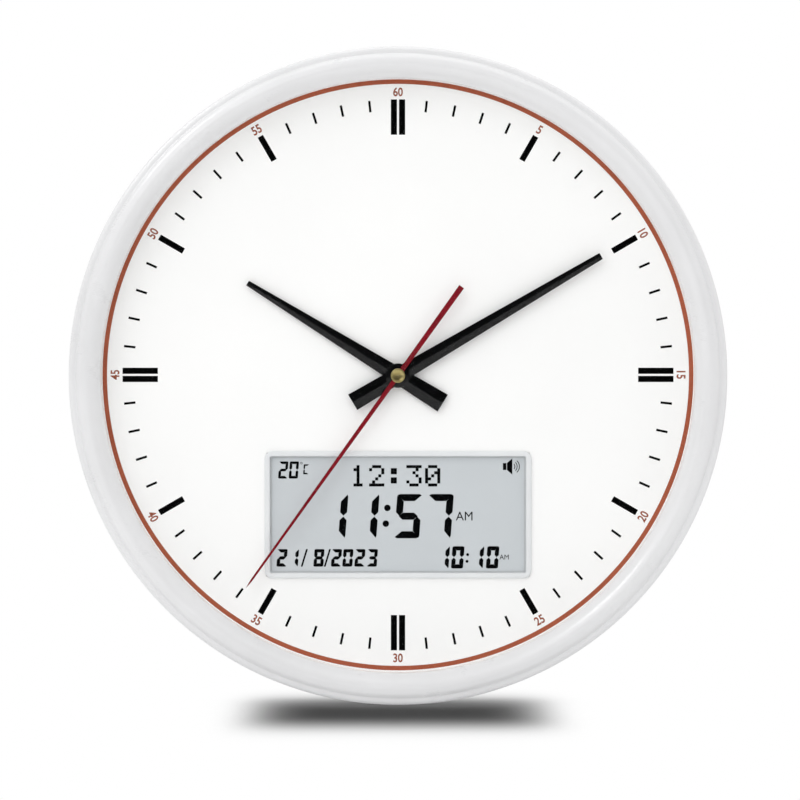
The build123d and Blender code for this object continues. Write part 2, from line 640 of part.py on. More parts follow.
def mesh_phase(angle, driver_teeth, driver_gap, follower_teeth):
    """Angle of a follower's tooth that sits in the driver's gap, seen along the line of centres."""
    driver_pitch = 360 / driver_teeth
    lag = (angle - driver_gap) % driver_pitch
    return angle + 180 + lag * driver_teeth / follower_teeth


def ring_points(radii_and_shares, teeth, phase):
    """Points round a gear: for each tooth, (radius, share of a pitch from the tooth's middle)."""
    points = []
    for tooth in range(teeth):
        for radius, share in radii_and_shares:
            angle = radians(phase + (tooth + share) * 360 / teeth)
            points.append((radius * cos(angle), radius * sin(angle)))
    return points


def wheel_face(teeth, module, phase):
    """Wheel outline with narrow roots and flat tips."""
    pitch_radius = teeth * module / 2
    tip = pitch_radius + WHEEL_ADDENDUM_RATIO * module
    root = pitch_radius - WHEEL_DEDENDUM_RATIO * module
    tooth = [(root, -0.5), (tip, -WHEEL_TIP_SHARE), (tip, WHEEL_TIP_SHARE)]
    return Polygon(*ring_points(tooth, teeth, phase), align=None)


def pinion_face(teeth, module, phase):
    """Pinion outline: slim leaves on a round root."""
    pitch_radius = teeth * module / 2
    tip = pitch_radius + LEAF_ADDENDUM_RATIO * module
    root = pitch_radius - LEAF_DEDENDUM_RATIO * module
    leaf = [(root, -LEAF_ROOT_SHARE), (tip, -LEAF_TIP_SHARE), (tip, LEAF_TIP_SHARE), (root, LEAF_ROOT_SHARE)]
    return Polygon(*ring_points(leaf, teeth, phase), align=None)


def wheel(teeth, module, gap_angle, bottom):
    """Toothed disc with a gap between teeth at one angle."""
    face = wheel_face(teeth, module, gap_angle + 180 / teeth)
    return extrude(Pos(0, 0, bottom) * face, WHEEL_THICKNESS)


def pinion(teeth, module, leaf_angle, bottom, top):
    """Pinion with a leaf at one angle."""
    return extrude(Pos(0, 0, bottom) * pinion_face(teeth, module, leaf_angle), top - bottom)


def mate_top(height):
    """Height at which a pinion ends past the wheel that it drives."""
    return height + WHEEL_THICKNESS + PINION_OVERLAP


pivot_bottom = train_floor - PIVOT_DEPTH + PIVOT_END_GAP
pivot_top = train_roof + PIVOT_DEPTH - PIVOT_END_GAP
plate_pivot_top = plate_z + PLATE_THICKNESS - PIVOT_END_GAP


def rotor():
    """Magnet disc and pinion of the stepping motor."""
    magnet_top = rotor_z + ROTOR_MAGNET_HEIGHT
    body = pin(ROTOR_MAGNET_RADIUS, rotor_z, magnet_top)
    leaves = pinion(ROTOR_PINION_TEETH, ROTOR_MODULE, ROTOR_ANGLE + 180, magnet_top, plate_z - RUNNING_GAP)
    arbor = disc(ROTOR_PIVOT_RADIUS, pivot_bottom, plate_pivot_top)
    return Pos(*rotor_place) * (body + leaves + arbor)


def intermediate_wheel():
    gear = wheel(INTERMEDIATE_WHEEL_TEETH, ROTOR_MODULE, ROTOR_ANGLE, intermediate_z)
    leaves = pinion(INTERMEDIATE_PINION_TEETH, SECOND_MODULE, INTERMEDIATE_ANGLE + 180,
                    second_z - PINION_OVERLAP, intermediate_z)
    arbor = disc(ARBOR_RADIUS, pivot_bottom, plate_pivot_top)
    return Pos(*intermediate_place) * (gear + leaves + arbor)


def second_wheel():
    """Wheel and pinion on the long arbor that carries the second hand."""
    gear = wheel(SECOND_WHEEL_TEETH, SECOND_MODULE, INTERMEDIATE_ANGLE, second_z)
    leaves = pinion(SECOND_PINION_TEETH, THIRD_MODULE, THIRD_ANGLE, second_z, third_z + WHEEL_THICKNESS)
    arbor = disc(ARBOR_RADIUS, pivot_bottom, cap_z + CAP_HEIGHT - CAP_ROOF - PIVOT_END_GAP)
    return gear + leaves + arbor


def third_wheel():
    gear = wheel(THIRD_WHEEL_TEETH, THIRD_MODULE, THIRD_ANGLE + 180, third_z)
    leaves = pinion(THIRD_PINION_TEETH, centre_module, THIRD_ANGLE + 180, third_z, mate_top(centre_z))
    arbor = disc(ARBOR_RADIUS, pivot_bottom, pivot_top)
    return Pos(*third_place) * (gear + leaves + arbor)


def centre_wheel():
    """Wheel with the cannon tube that carries the minute hand."""
    gear = wheel(CENTRE_WHEEL_TEETH, centre_module, THIRD_ANGLE, centre_z)
    leaves = pinion(CANNON_PINION_TEETH, MOTION_MODULE, MINUTE_ANGLE, centre_z, mate_top(minute_z))
    tube_top = minute_hand_z + HAND_BOSS_HEIGHT
    tube = pin(CANNON_RADIUS, centre_z, tube_top)
    return gear + leaves + tube - bore(ARBOR_RADIUS + PIVOT_GAP, centre_z, tube_top)


def minute_wheel():
    """Motion wheel: brings the minute hand's turn down to the hour hand's."""
    gear = wheel(MINUTE_WHEEL_TEETH, MOTION_MODULE, MINUTE_ANGLE + 180, minute_z)
    leaves = pinion(MINUTE_PINION_TEETH, hour_module, MINUTE_ANGLE + 180, minute_z, mate_top(hour_z))
    arbor = disc(ARBOR_RADIUS, minute_z, pivot_top)
    return Pos(*minute_place) * (gear + leaves + arbor)


def hour_wheel():
    """Wheel with the tube that carries the hour hand."""
    gear = wheel(HOUR_WHEEL_TEETH, hour_module, MINUTE_ANGLE, hour_z)
    tube_top = hour_hand_z + HAND_BOSS_HEIGHT
    tube = pin(HOUR_TUBE_RADIUS, hour_z, tube_top)
    return gear + tube - bore(CANNON_RADIUS + PIVOT_GAP, hour_z, tube_top)


def setting_knob():
    """Hand-setting gear, shaft and the milled knob behind the movement."""
    leaf = mesh_phase(SETTING_ANGLE, MINUTE_WHEEL_TEETH, MINUTE_ANGLE + 180, SETTING_GEAR_TEETH)
    gear_bottom = minute_z - PINION_OVERLAP
    gear = pinion(SETTING_GEAR_TEETH, MOTION_MODULE, leaf, gear_bottom, mate_top(minute_z))
    knob_top = movement_back - RUNNING_GAP
    shaft = pin(SETTING_SHAFT_RADIUS, knob_top, gear_bottom)
    knob = pin(SETTING_KNOB_RADIUS, knob_top - SETTING_KNOB_THICKNESS, knob_top, sides=2 * PIN_SIDES)
    pivot = disc(ARBOR_RADIUS, gear_bottom, pivot_top)
    return Pos(*setting_place) * (gear + shaft + knob + pivot)


# Movement

def middle_plate():
    """Train plate between the third wheel and the centre wheel."""
    bottom_edge = partition_y + PARTITION_THICKNESS + RUNNING_GAP
    width, height = PLATE_RIGHT - PLATE_LEFT, PLATE_TOP - bottom_edge
    x, y = (PLATE_RIGHT + PLATE_LEFT) / 2, (PLATE_TOP + bottom_edge) / 2
    top = plate_z + PLATE_THICKNESS
    plate = block(width, height, plate_z, top, x, y)
    hole = ARBOR_RADIUS + PIVOT_GAP
    leaf_tip = (THIRD_PINION_TEETH / 2 + LEAF_ADDENDUM_RATIO) * centre_module
    return plate - [
        bore(hole, plate_z, top),
        bore(hole, plate_z, top, *intermediate_place),
        bore(ROTOR_PIVOT_RADIUS + PIVOT_GAP, plate_z, top, *rotor_place),
        bore(leaf_tip + RUNNING_GAP, plate_z, top, *third_place),
        bore(SETTING_SHAFT_RADIUS + RUNNING_GAP, plate_z, top, *setting_place),
    ]


def movement_case():
    """Front shell with the threaded bush, the bearings, the posts and the cell's partition."""
    shell = block(movement_size, movement_size, movement_seam, movement_front)
    shell -= block(2 * train_half, 2 * train_half, movement_seam, train_roof)
    partition = block(2 * train_half + BITE, PARTITION_THICKNESS, movement_seam, train_roof + BITE,
                      0, partition_y + PARTITION_THICKNESS / 2)
    bush = pin(BUSH_RADIUS, train_roof, bush_top, sides=2 * PIN_SIDES)
    boss_bottom = mate_top(hour_z) + RUNNING_GAP
    minute_boss = pin(ARBOR_RADIUS + BEARING_WALL, boss_bottom, train_roof + BITE, *minute_place)
    posts = [block(POST_SIZE, POST_SIZE, plate_z + PLATE_THICKNESS, train_roof + BITE, x, y)
             for x, y in POST_PLACES]
    shell = fused([shell, partition, bush, minute_boss] + posts)
    bearing = ARBOR_RADIUS + PIVOT_GAP
    bearing_top = train_roof + PIVOT_DEPTH
    cell_half_chord = (CELL_RADIUS ** 2 - (train_roof - movement_cell_z) ** 2) ** 0.5 + CELL_GAP
    return shell - [
        block(2 * train_half, 2 * cell_half_chord, train_roof, movement_cell_z + CELL_RADIUS + CELL_GAP,
              0, movement_cell_y),
        bore(HOUR_TUBE_RADIUS + PIVOT_GAP, train_roof, bush_top, sides=2 * PIN_SIDES),
        bore(bearing, boss_bottom, bearing_top, *minute_place),
        bore(bearing, train_roof, bearing_top, *third_place),
        bore(bearing, train_roof, bearing_top, *setting_place),
    ]


def movement_cover():
    """Rear shell with the cell's opening and the lower bearings."""
    shell = block(movement_size, movement_size, movement_back, movement_seam)
    shell -= block(2 * train_half, 2 * train_half, train_floor, movement_seam)
    cell_opening = block(CELL_LENGTH + CELL_OPENING_SLACK, 2 * CELL_RADIUS, movement_back, train_floor,
                         0, movement_cell_y)
    bearing = ARBOR_RADIUS + PIVOT_GAP
    bottom = train_floor - PIVOT_DEPTH
    cuts = [cell_opening,
            bore(SETTING_SHAFT_RADIUS + PIVOT_GAP, movement_back, train_floor, *setting_place)]
    for place in (axis, third_place, intermediate_place):
        cuts.append(bore(bearing, bottom, train_floor, *place))
    cuts.append(bore(ROTOR_PIVOT_RADIUS + PIVOT_GAP, bottom, train_floor, *rotor_place))
    return shell - cuts


def stator():
    """Motor lamination: ring round the rotor and an arm to each end of the coil."""
    top = stator_z + STATOR_THICKNESS
    hole = ROTOR_MAGNET_RADIUS + STATOR_GAP
    rotor_x, rotor_y = rotor_place
    arm_right = COIL_X + STATOR_REACH
    upper_y = COIL_HIGH + RUNNING_GAP + STATOR_ARM / 2
    upper_width = arm_right - SPINE_X + STATOR_SPINE / 2
    spine_height = upper_y - rotor_y
    ring = pin(hole + STATOR_BRIDGE, stator_z, top, rotor_x, rotor_y)
    foot = block(arm_right - rotor_x, STATOR_FOOT, stator_z, top, (arm_right + rotor_x) / 2, rotor_y)
    spine = block(STATOR_SPINE, spine_height, stator_z, top, SPINE_X, rotor_y + spine_height / 2)
    upper = block(upper_width, STATOR_ARM, stator_z, top, arm_right - upper_width / 2, upper_y)
    return fused([ring, foot, spine, upper]) - bore(hole, stator_z, top, rotor_x, rotor_y)


def coil():
    """Motor coil: core bar on the stator's arms, with the winding and its two flanges."""
    core_bottom = stator_z + STATOR_THICKNESS
    length = COIL_HIGH - COIL_LOW
    middle = (COIL_LOW + COIL_HIGH) / 2
    core = block(CORE_WIDTH, length + 2 * CORE_LAP, core_bottom, core_bottom + CORE_THICKNESS, COIL_X, middle)
    lying = Pos(COIL_X, middle, core_bottom + CORE_THICKNESS / 2) * Rot(90, 0, 0)
    winding = lying * pin(WINDING_RADIUS, -length / 2, length / 2)
    flanges = [lying * pin(COIL_RADIUS, low, low + COIL_FLANGE)
               for low in (-length / 2, length / 2 - COIL_FLANGE)]
    return fused([core, winding] + flanges)


def movement_board():
    """Small circuit board under the front of the movement."""
    return block(MOVEMENT_BOARD_WIDTH, MOVEMENT_BOARD_HEIGHT, train_roof - MOVEMENT_BOARD_THICKNESS,
                 train_roof, MOVEMENT_BOARD_X, MOVEMENT_BOARD_Y)


def quartz_crystal():
    """Tuning-fork crystal can lying on the board."""
    z = train_roof - MOVEMENT_BOARD_THICKNESS - CRYSTAL_RADIUS
    can = pin(CRYSTAL_RADIUS, -CRYSTAL_LENGTH / 2, CRYSTAL_LENGTH / 2)
    return Pos(MOVEMENT_BOARD_X, MOVEMENT_BOARD_Y, z) * Rot(0, 90, 0) * can


def cell(x, y, z, nub_side):
    """AA cell along X with its contact nub towards one side."""
    half = CELL_LENGTH / 2
    body = pin(CELL_RADIUS, -half, half - CELL_NUB_HEIGHT, sides=2 * PIN_SIDES)
    nub = pin(CELL_NUB_RADIUS, half - CELL_NUB_HEIGHT, half)
    return Pos(x, y, z) * Rot(0, 90 * nub_side, 0) * (body + nub)


def contact_pair(centre_x, spring_length, y, z, nub_side):
    """Flat contact at the nub's end and a spring on its plate at the other end."""
    plate = Box(CONTACT_THICKNESS, CONTACT_SIZE, CONTACT_SIZE)
    reach = (CELL_LENGTH + CONTACT_THICKNESS + spring_length) / 2
    flat = Pos(centre_x + nub_side * reach, y, z) * plate
    spring_plate = Pos(centre_x - nub_side * reach, y, z) * plate
    spring_x = centre_x - nub_side * CELL_LENGTH / 2
    spring = tapered(SPRING_BASE_RADIUS, SPRING_TIP_RADIUS, -spring_length / 2, spring_length / 2)
    return [flat, spring_plate, Pos(spring_x, y, z) * Rot(0, 90 * nub_side, 0) * spring]


def cell_centre(centre_x, spring_length, nub_side):
    """X at which a cell's nub touches the flat contact."""
    return centre_x + nub_side * spring_length / 2


def movement_cell():
    return cell(cell_centre(0, MOVEMENT_SPRING_LENGTH, 1), movement_cell_y, movement_cell_z, 1)


def movement_contacts():
    return Compound(contact_pair(0, MOVEMENT_SPRING_LENGTH, movement_cell_y, movement_cell_z, 1))


# Display module

def lcd_frame():
    """Raised frame on the dial with a bevelled window and a skirt that passes through the dial."""
    face = slab(FRAME_WIDTH, FRAME_HEIGHT, FRAME_CORNER, dial_face, frame_top, 0, DISPLAY_Y)
    skirt = block(SKIRT_WIDTH, SKIRT_HEIGHT, glass_top + POLARISER_THICKNESS, dial_face + BITE,
                  0, DISPLAY_Y)
    opening_width, opening_height = FRAME_WIDTH - 2 * FRAME_BAR, FRAME_HEIGHT - 2 * FRAME_BAR
    window = block(opening_width, opening_height, glass_top, frame_top, 0, DISPLAY_Y)
    low = Pos(0, DISPLAY_Y, frame_top - FRAME_BEVEL) * Rectangle(opening_width, opening_height)
    high = Pos(0, DISPLAY_Y, frame_top) * Rectangle(
        opening_width + FRAME_BEVEL, opening_height + FRAME_BEVEL)
    return face + skirt - window - loft([low, high], ruled=True)


def display_layer(width, height, top, thickness):
    return block(width, height, top - thickness, top, 0, DISPLAY_Y)


def lcd_polariser():
    return display_layer(display_width - 2 * POLARISER_MARGIN,
                         display_height - 2 * CONTACT_LEDGE - 2 * POLARISER_MARGIN, glass_top + POLARISER_THICKNESS,
                         POLARISER_THICKNESS)


def lcd_front_glass():
    return display_layer(display_width, display_height - 2 * CONTACT_LEDGE, glass_top, GLASS_THICKNESS)


def lcd_rear_glass():
    return display_layer(display_width, display_height, rear_glass_top, GLASS_THICKNESS)


def lcd_reflector():
    return display_layer(display_width - 2 * REFLECTOR_MARGIN, display_height - 2 * REFLECTOR_MARGIN,
                         reflector_top, REFLECTOR_THICKNESS)


strip_y = display_height / 2 - STRIP_WIDTH / 2
holder_width = display_width + 2 * HOLDER_WALL
holder_height = display_height + 2 * HOLDER_WALL


def lcd_holder():
    """Tray behind the dial: pocket for the glass, floor with slots for the contact strips."""
    tray = block(holder_width, holder_height, HOLDER_BACK, DIAL_BACK, 0, DISPLAY_Y)
    pocket = block(display_width + 2 * PIVOT_GAP, display_height + 2 * PIVOT_GAP, holder_pocket, DIAL_BACK,
                   0, DISPLAY_Y)
    underside = block(display_width - 2 * UNDERSIDE_MARGIN_X, display_height - 2 * UNDERSIDE_MARGIN_Y,
                      HOLDER_BACK, holder_pocket - HOLDER_FLOOR, 0, DISPLAY_Y)
    slots = [block(display_width - 2 * STRIP_MARGIN + 2 * STRIP_GAP, STRIP_WIDTH + 2 * STRIP_GAP,
                   HOLDER_BACK, holder_pocket, 0, DISPLAY_Y + side * (strip_y - STRIP_GAP)) for side in (-1, 1)]
    holes = [bore(MODULE_SCREW_RADIUS, HOLDER_BACK, HOLDER_BACK + MODULE_SCREW_LENGTH + PILOT_RUNOUT, x, y,
                  sides=SCREW_SIDES) for x, y in module_screw_places()]
    return tray - ([pocket, underside] + slots + holes)


def contact_strips():
    """Conductive rubber strips from the board up to the glass's ledges."""
    strips = [block(display_width - 2 * STRIP_MARGIN, STRIP_WIDTH, HOLDER_BACK, reflector_top,
                    0, DISPLAY_Y + side * (strip_y - STRIP_GAP)) for side in (-1, 1)]
    return Compound(strips)


def module_screw_places():
    """Corners of the board where it is screwed to the holder."""
    reach_x = holder_width / 2 - MODULE_SCREW_INSET
    reach_y = holder_height / 2 - MODULE_SCREW_INSET
    return [(sx * reach_x, DISPLAY_Y + sy * reach_y) for sx in (-1, 1) for sy in (-1, 1)]


def main_board():
    """Display board with its four screw holes."""
    board = block(holder_width, holder_height, board_back, HOLDER_BACK, 0, DISPLAY_Y)
    return board - [bore(MODULE_SCREW_RADIUS + MODULE_SCREW_SLACK, board_back, HOLDER_BACK, x, y, sides=SCREW_SIDES)
                    for x, y in module_screw_places()]


def module_screws():
    one = screw(MODULE_HEAD_RADIUS, MODULE_HEAD_HEIGHT, MODULE_SCREW_RADIUS, board_back,
                HOLDER_BACK + MODULE_SCREW_LENGTH)
    return Compound([Pos(x, y) * one for x, y in module_screw_places()])


def board_chips():
    """Potted clock chip, voice chip, crystal and two capacitors on the back of the board."""
    y = DISPLAY_Y + CHIP_RISE
    chips = [
        block(CLOCK_CHIP_SIZE, CLOCK_CHIP_SIZE, board_back - CHIP_HEIGHT, board_back, CLOCK_CHIP_X, y),
        block(VOICE_CHIP_LENGTH, VOICE_CHIP_WIDTH, board_back - CHIP_HEIGHT, board_back, VOICE_CHIP_X, y),
        block(BOARD_CRYSTAL_LENGTH, BOARD_CRYSTAL_WIDTH, board_back - BOARD_CRYSTAL_HEIGHT, board_back,
              BOARD_CRYSTAL_X, y),
    ]
    for x in (CAPACITOR_X, CAPACITOR_X + CAPACITOR_PITCH):
        chips.append(pin(CAPACITOR_RADIUS, board_back - CAPACITOR_HEIGHT, board_back, x, y))
    return Compound(chips)


def key_places():
    return [KEY_X + index * KEY_PITCH for index in range(KEY_COUNT)]


def tact_switches():
    """Push switches on the back of the board, one under each key."""
    switch = block(TACT_SIZE, TACT_SIZE, tact_back, board_back)
    switch += pin(TACT_PLUNGER_RADIUS, plunger_back, tact_back, sides=SCREW_SIDES)
    return Compound([Pos(x, key_y) * switch for x in key_places()])


def push_key(x):
    """Key cap through the panel, held by a flange inside, with a stem over its switch."""
    flange_bottom = panel_front + KEY_GAP
    flange_top = flange_bottom + KEY_FLANGE_HEIGHT
    cap = block(KEY_WIDTH, KEY_HEIGHT, PANEL_STANDOFF - KEY_PROUD, flange_bottom)
    flange = block(KEY_WIDTH + 2 * KEY_FLANGE, KEY_HEIGHT + 2 * KEY_FLANGE, flange_bottom, flange_top)
    stem = block(KEY_STEM, KEY_STEM, flange_top, plunger_back - KEY_REST_GAP)
    return Pos(x, key_y) * (cap + flange + stem)


switch_back = board_back - SWITCH_HEIGHT


def slide_switch():
    body = block(SWITCH_LENGTH, SWITCH_WIDTH, switch_back, board_back, SWITCH_X + SWITCH_THROW / 2, key_y)
    way = block(SWITCH_STEM + SWITCH_THROW + 2 * KEY_GAP, SWITCH_STEM + 2 * KEY_GAP,
                switch_back, switch_back + SWITCH_STEM_DEPTH + KEY_GAP,
                SWITCH_X + SWITCH_THROW / 2, key_y)
    return body - way


def switch_knob():
    """Switch lever with a finger cap behind the panel."""
    cap = block(SWITCH_CAP_LENGTH, SWITCH_CAP_WIDTH, PANEL_STANDOFF - SWITCH_CAP_PROUD, panel_front + SWITCH_CAP_RISE)
    stem = block(SWITCH_STEM, SWITCH_STEM, panel_front + SWITCH_CAP_RISE, switch_back + SWITCH_STEM_DEPTH)
    return Pos(SWITCH_X, key_y) * (cap + stem)


# Speaker

basket_rim = SPEAKER_RADIUS - SPEAKER_FLANGE
basket_top = panel_front + SPEAKER_DEPTH
basket_floor = basket_top - BASKET_WALL
basket_lean = (basket_rim - BASKET_FLOOR_RADIUS) / (SPEAKER_DEPTH - BASKET_WALL)


def speaker_basket():
    """Pressed steel basket, flange on the panel, floor under the magnet."""
    sides = 2 * PIN_SIDES
    flange = pin(SPEAKER_RADIUS, panel_front, panel_front + SPEAKER_LIP, sides=sides)
    bowl = tapered(basket_rim, BASKET_FLOOR_RADIUS, panel_front, basket_top, sides)
    hollow = tapered(basket_rim - BASKET_WALL, BASKET_FLOOR_RADIUS - BASKET_WALL, panel_front, basket_floor,
                     sides)
    throat = pin(CONE_THROAT, basket_floor, basket_top, sides=sides)
    return Pos(speaker_x, SPEAKER_Y) * (flange + bowl - hollow - throat)


def speaker_cone():
    """Paper cone glued inside the basket's rim, closed by a dust cap."""
    bottom = panel_front + CONE_SINK
    edge = basket_rim - BASKET_WALL - basket_lean * (CONE_SINK + CONE_WALL) - PRESS_GAP
    throat = basket_floor - THROAT_GAP
    rim = pin(edge, bottom, bottom + CONE_WALL)
    outside = tapered(edge, CONE_THROAT, bottom + CONE_WALL, throat + CONE_WALL)
    inside = tapered(edge - CONE_WALL, CONE_THROAT, bottom, throat)
    cap = tapered(DUST_CAP_RADIUS, CONE_THROAT, throat - DUST_CAP_HEIGHT, throat)
    return Pos(speaker_x, SPEAKER_Y) * (rim + outside - inside + cap)


def speaker_magnet():
    return pin(MAGNET_RADIUS, basket_top, basket_top + MAGNET_HEIGHT, speaker_x, SPEAKER_Y,
               sides=2 * PIN_SIDES)


def speaker_screws():
    """Screws beside the speaker, whose heads lap over its flange."""
    bottom = panel_front + SPEAKER_LIP
    head = pin(SPEAKER_HEAD_RADIUS, bottom, bottom + SCREW_HEAD_HEIGHT, sides=SCREW_SIDES)
    shank = pin(SPEAKER_SCREW_RADIUS, bottom - SPEAKER_SCREW_DEPTH, bottom, sides=SCREW_SIDES)
    return Compound([place * (head + shank) for place in speaker_screw_places()])


# Battery box

box_cell_z = PANEL_STANDOFF + (BOX_FRONT - BOX_WALL - PANEL_STANDOFF) / 2
box_cell_y = BOX_WIDTH / 4


def battery_cell(side):
    """One of the two cells, which lie head to tail."""
    x = cell_centre(box_x, BOX_SPRING_LENGTH, side)
    return cell(x, BOX_Y + side * box_cell_y, box_cell_z, side)


def battery_contacts():
    pieces = []
    for side in (-1, 1):
        pieces += contact_pair(box_x, BOX_SPRING_LENGTH, BOX_Y + side * box_cell_y, box_cell_z, side)
    return Compound(pieces)


def battery_door():
    """Flat door that slides down between its rails, with grip ridges near its lower edge."""
    top = PANEL_STANDOFF - DOOR_GAP
    width = box_length + 2 * DOOR_LAP
    height = BOX_WIDTH + 2 * DOOR_LAP
    door = block(width, height, top - DOOR_THICKNESS, top, box_x, BOX_Y)
    grips = []
    for index in range(GRIP_COUNT):
        y = BOX_Y - height / 2 + GRIP_PITCH * (index + 1)
        grips.append(block(GRIP_LENGTH, GRIP_WIDTH, top - DOOR_THICKNESS, top - DOOR_THICKNESS + GRIP_DEPTH, box_x, y))
    return door - grips


nodes = {
    "front_frame": front_frame,
    "lens": lens,
    "dial_spacer_ring": dial_spacer_ring,
    "dial_plate": dial_plate,
    "rear_cover": rear_cover,
    "case_screws": case_screws,
    "hour_hand": hour_hand,
    "minute_hand": minute_hand,
    "second_hand": second_hand,
    "second_hand_cap": second_hand_cap,
    "hand_nut": hand_nut,
    "nut_washer": nut_washer,
    "dial_washer": dial_washer,
    "rotor": rotor,
    "intermediate_wheel": intermediate_wheel,
    "second_wheel": second_wheel,
    "third_wheel": third_wheel,
    "centre_wheel": centre_wheel,
    "minute_wheel": minute_wheel,
    "hour_wheel": hour_wheel,
    "setting_knob": setting_knob,
    "middle_plate": middle_plate,
    "movement_case": movement_case,
    "movement_cover": movement_cover,
    "stator": stator,
    "coil": coil,
    "movement_board": movement_board,
    "quartz_crystal": quartz_crystal,
    "movement_cell": movement_cell,
    "movement_contacts": movement_contacts,
    "lcd_frame": lcd_frame,
    "lcd_polariser": lcd_polariser,
    "lcd_front_glass": lcd_front_glass,
    "lcd_rear_glass": lcd_rear_glass,
    "lcd_reflector": lcd_reflector,
    "lcd_holder": lcd_holder,
    "contact_strips": contact_strips,
    "main_board": main_board,
    "board_chips": board_chips,
    "module_screws": module_screws,
    "tact_switches": tact_switches,
    "slide_switch": slide_switch,
    "switch_knob": switch_knob,
    "speaker_basket": speaker_basket,
    "speaker_cone": speaker_cone,
    "speaker_magnet": speaker_magnet,
    "speaker_screws": speaker_screws,
    "battery_contacts": battery_contacts,
    "battery_door": battery_door,
    "battery_cell_upper": lambda: battery_cell(1),
    "battery_cell_lower": lambda: battery_cell(-1),
}
for number, key_x in enumerate(key_places(), start=1):
    nodes[f"push_key_{number}"] = lambda x=key_x: push_key(x)

os.makedirs("parts", exist_ok=True)
for name, make in nodes.items():
    export_step(Rot(90, 0, 0) * make(), f"parts/{name}.step")
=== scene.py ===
"""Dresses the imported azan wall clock: mouldings, dial print, hands, digital display and back."""
import logging
import math
from dataclasses import dataclass, field
from enum import Enum
from functools import cache, partial, reduce

import bmesh
import bpy
import numpy as np
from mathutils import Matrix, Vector


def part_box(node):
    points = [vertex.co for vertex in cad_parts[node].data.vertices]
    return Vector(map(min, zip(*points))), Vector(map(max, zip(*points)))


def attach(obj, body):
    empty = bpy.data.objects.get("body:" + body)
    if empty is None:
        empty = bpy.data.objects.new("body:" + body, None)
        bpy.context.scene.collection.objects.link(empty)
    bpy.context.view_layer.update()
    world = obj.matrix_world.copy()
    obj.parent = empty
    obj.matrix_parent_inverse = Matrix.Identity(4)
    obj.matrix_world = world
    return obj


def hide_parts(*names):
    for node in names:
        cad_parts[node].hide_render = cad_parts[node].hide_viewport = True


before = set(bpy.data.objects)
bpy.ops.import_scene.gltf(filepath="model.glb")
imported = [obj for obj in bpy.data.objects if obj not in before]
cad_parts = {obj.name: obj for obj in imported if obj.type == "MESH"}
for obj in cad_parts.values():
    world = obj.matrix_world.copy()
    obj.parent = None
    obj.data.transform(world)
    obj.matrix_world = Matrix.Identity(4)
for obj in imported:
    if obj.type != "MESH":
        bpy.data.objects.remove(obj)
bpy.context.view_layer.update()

Array = np.ndarray
Pair = tuple[float, float]
Colour = tuple[float, float, float]
Socket = bpy.types.NodeSocket
Mark = tuple[str, float, float, float]

# A millimetre and the gap under which corners are one, both in metres, the steps in a full turn, the height
# of a capital in type of size 1, and the angle in degrees from which a moulding's edge is rounded
MM = 0.001
WELD = 2e-6
TURN_STEPS = 192
CAPITAL = 0.72
CORNER = 30.0
log = logging.getLogger("clock")


def linked(name: str, data: bpy.types.ID) -> bpy.types.Object:
    """New object of some data, in the scene."""
    made = bpy.data.objects.new(name, data)
    bpy.context.scene.collection.objects.link(made)
    return made


# ---------------------------------------------------------------- colours and node recipes

def paint(red: int, green: int, blue: int) -> Colour:
    """Screen colour in 0 to 255 as the linear colour that renders like it."""
    value = np.array([red, green, blue]) / 255.0
    return tuple(np.where(value <= 0.04045, value / 12.92, ((value + 0.055) / 1.055) ** 2.4).tolist())


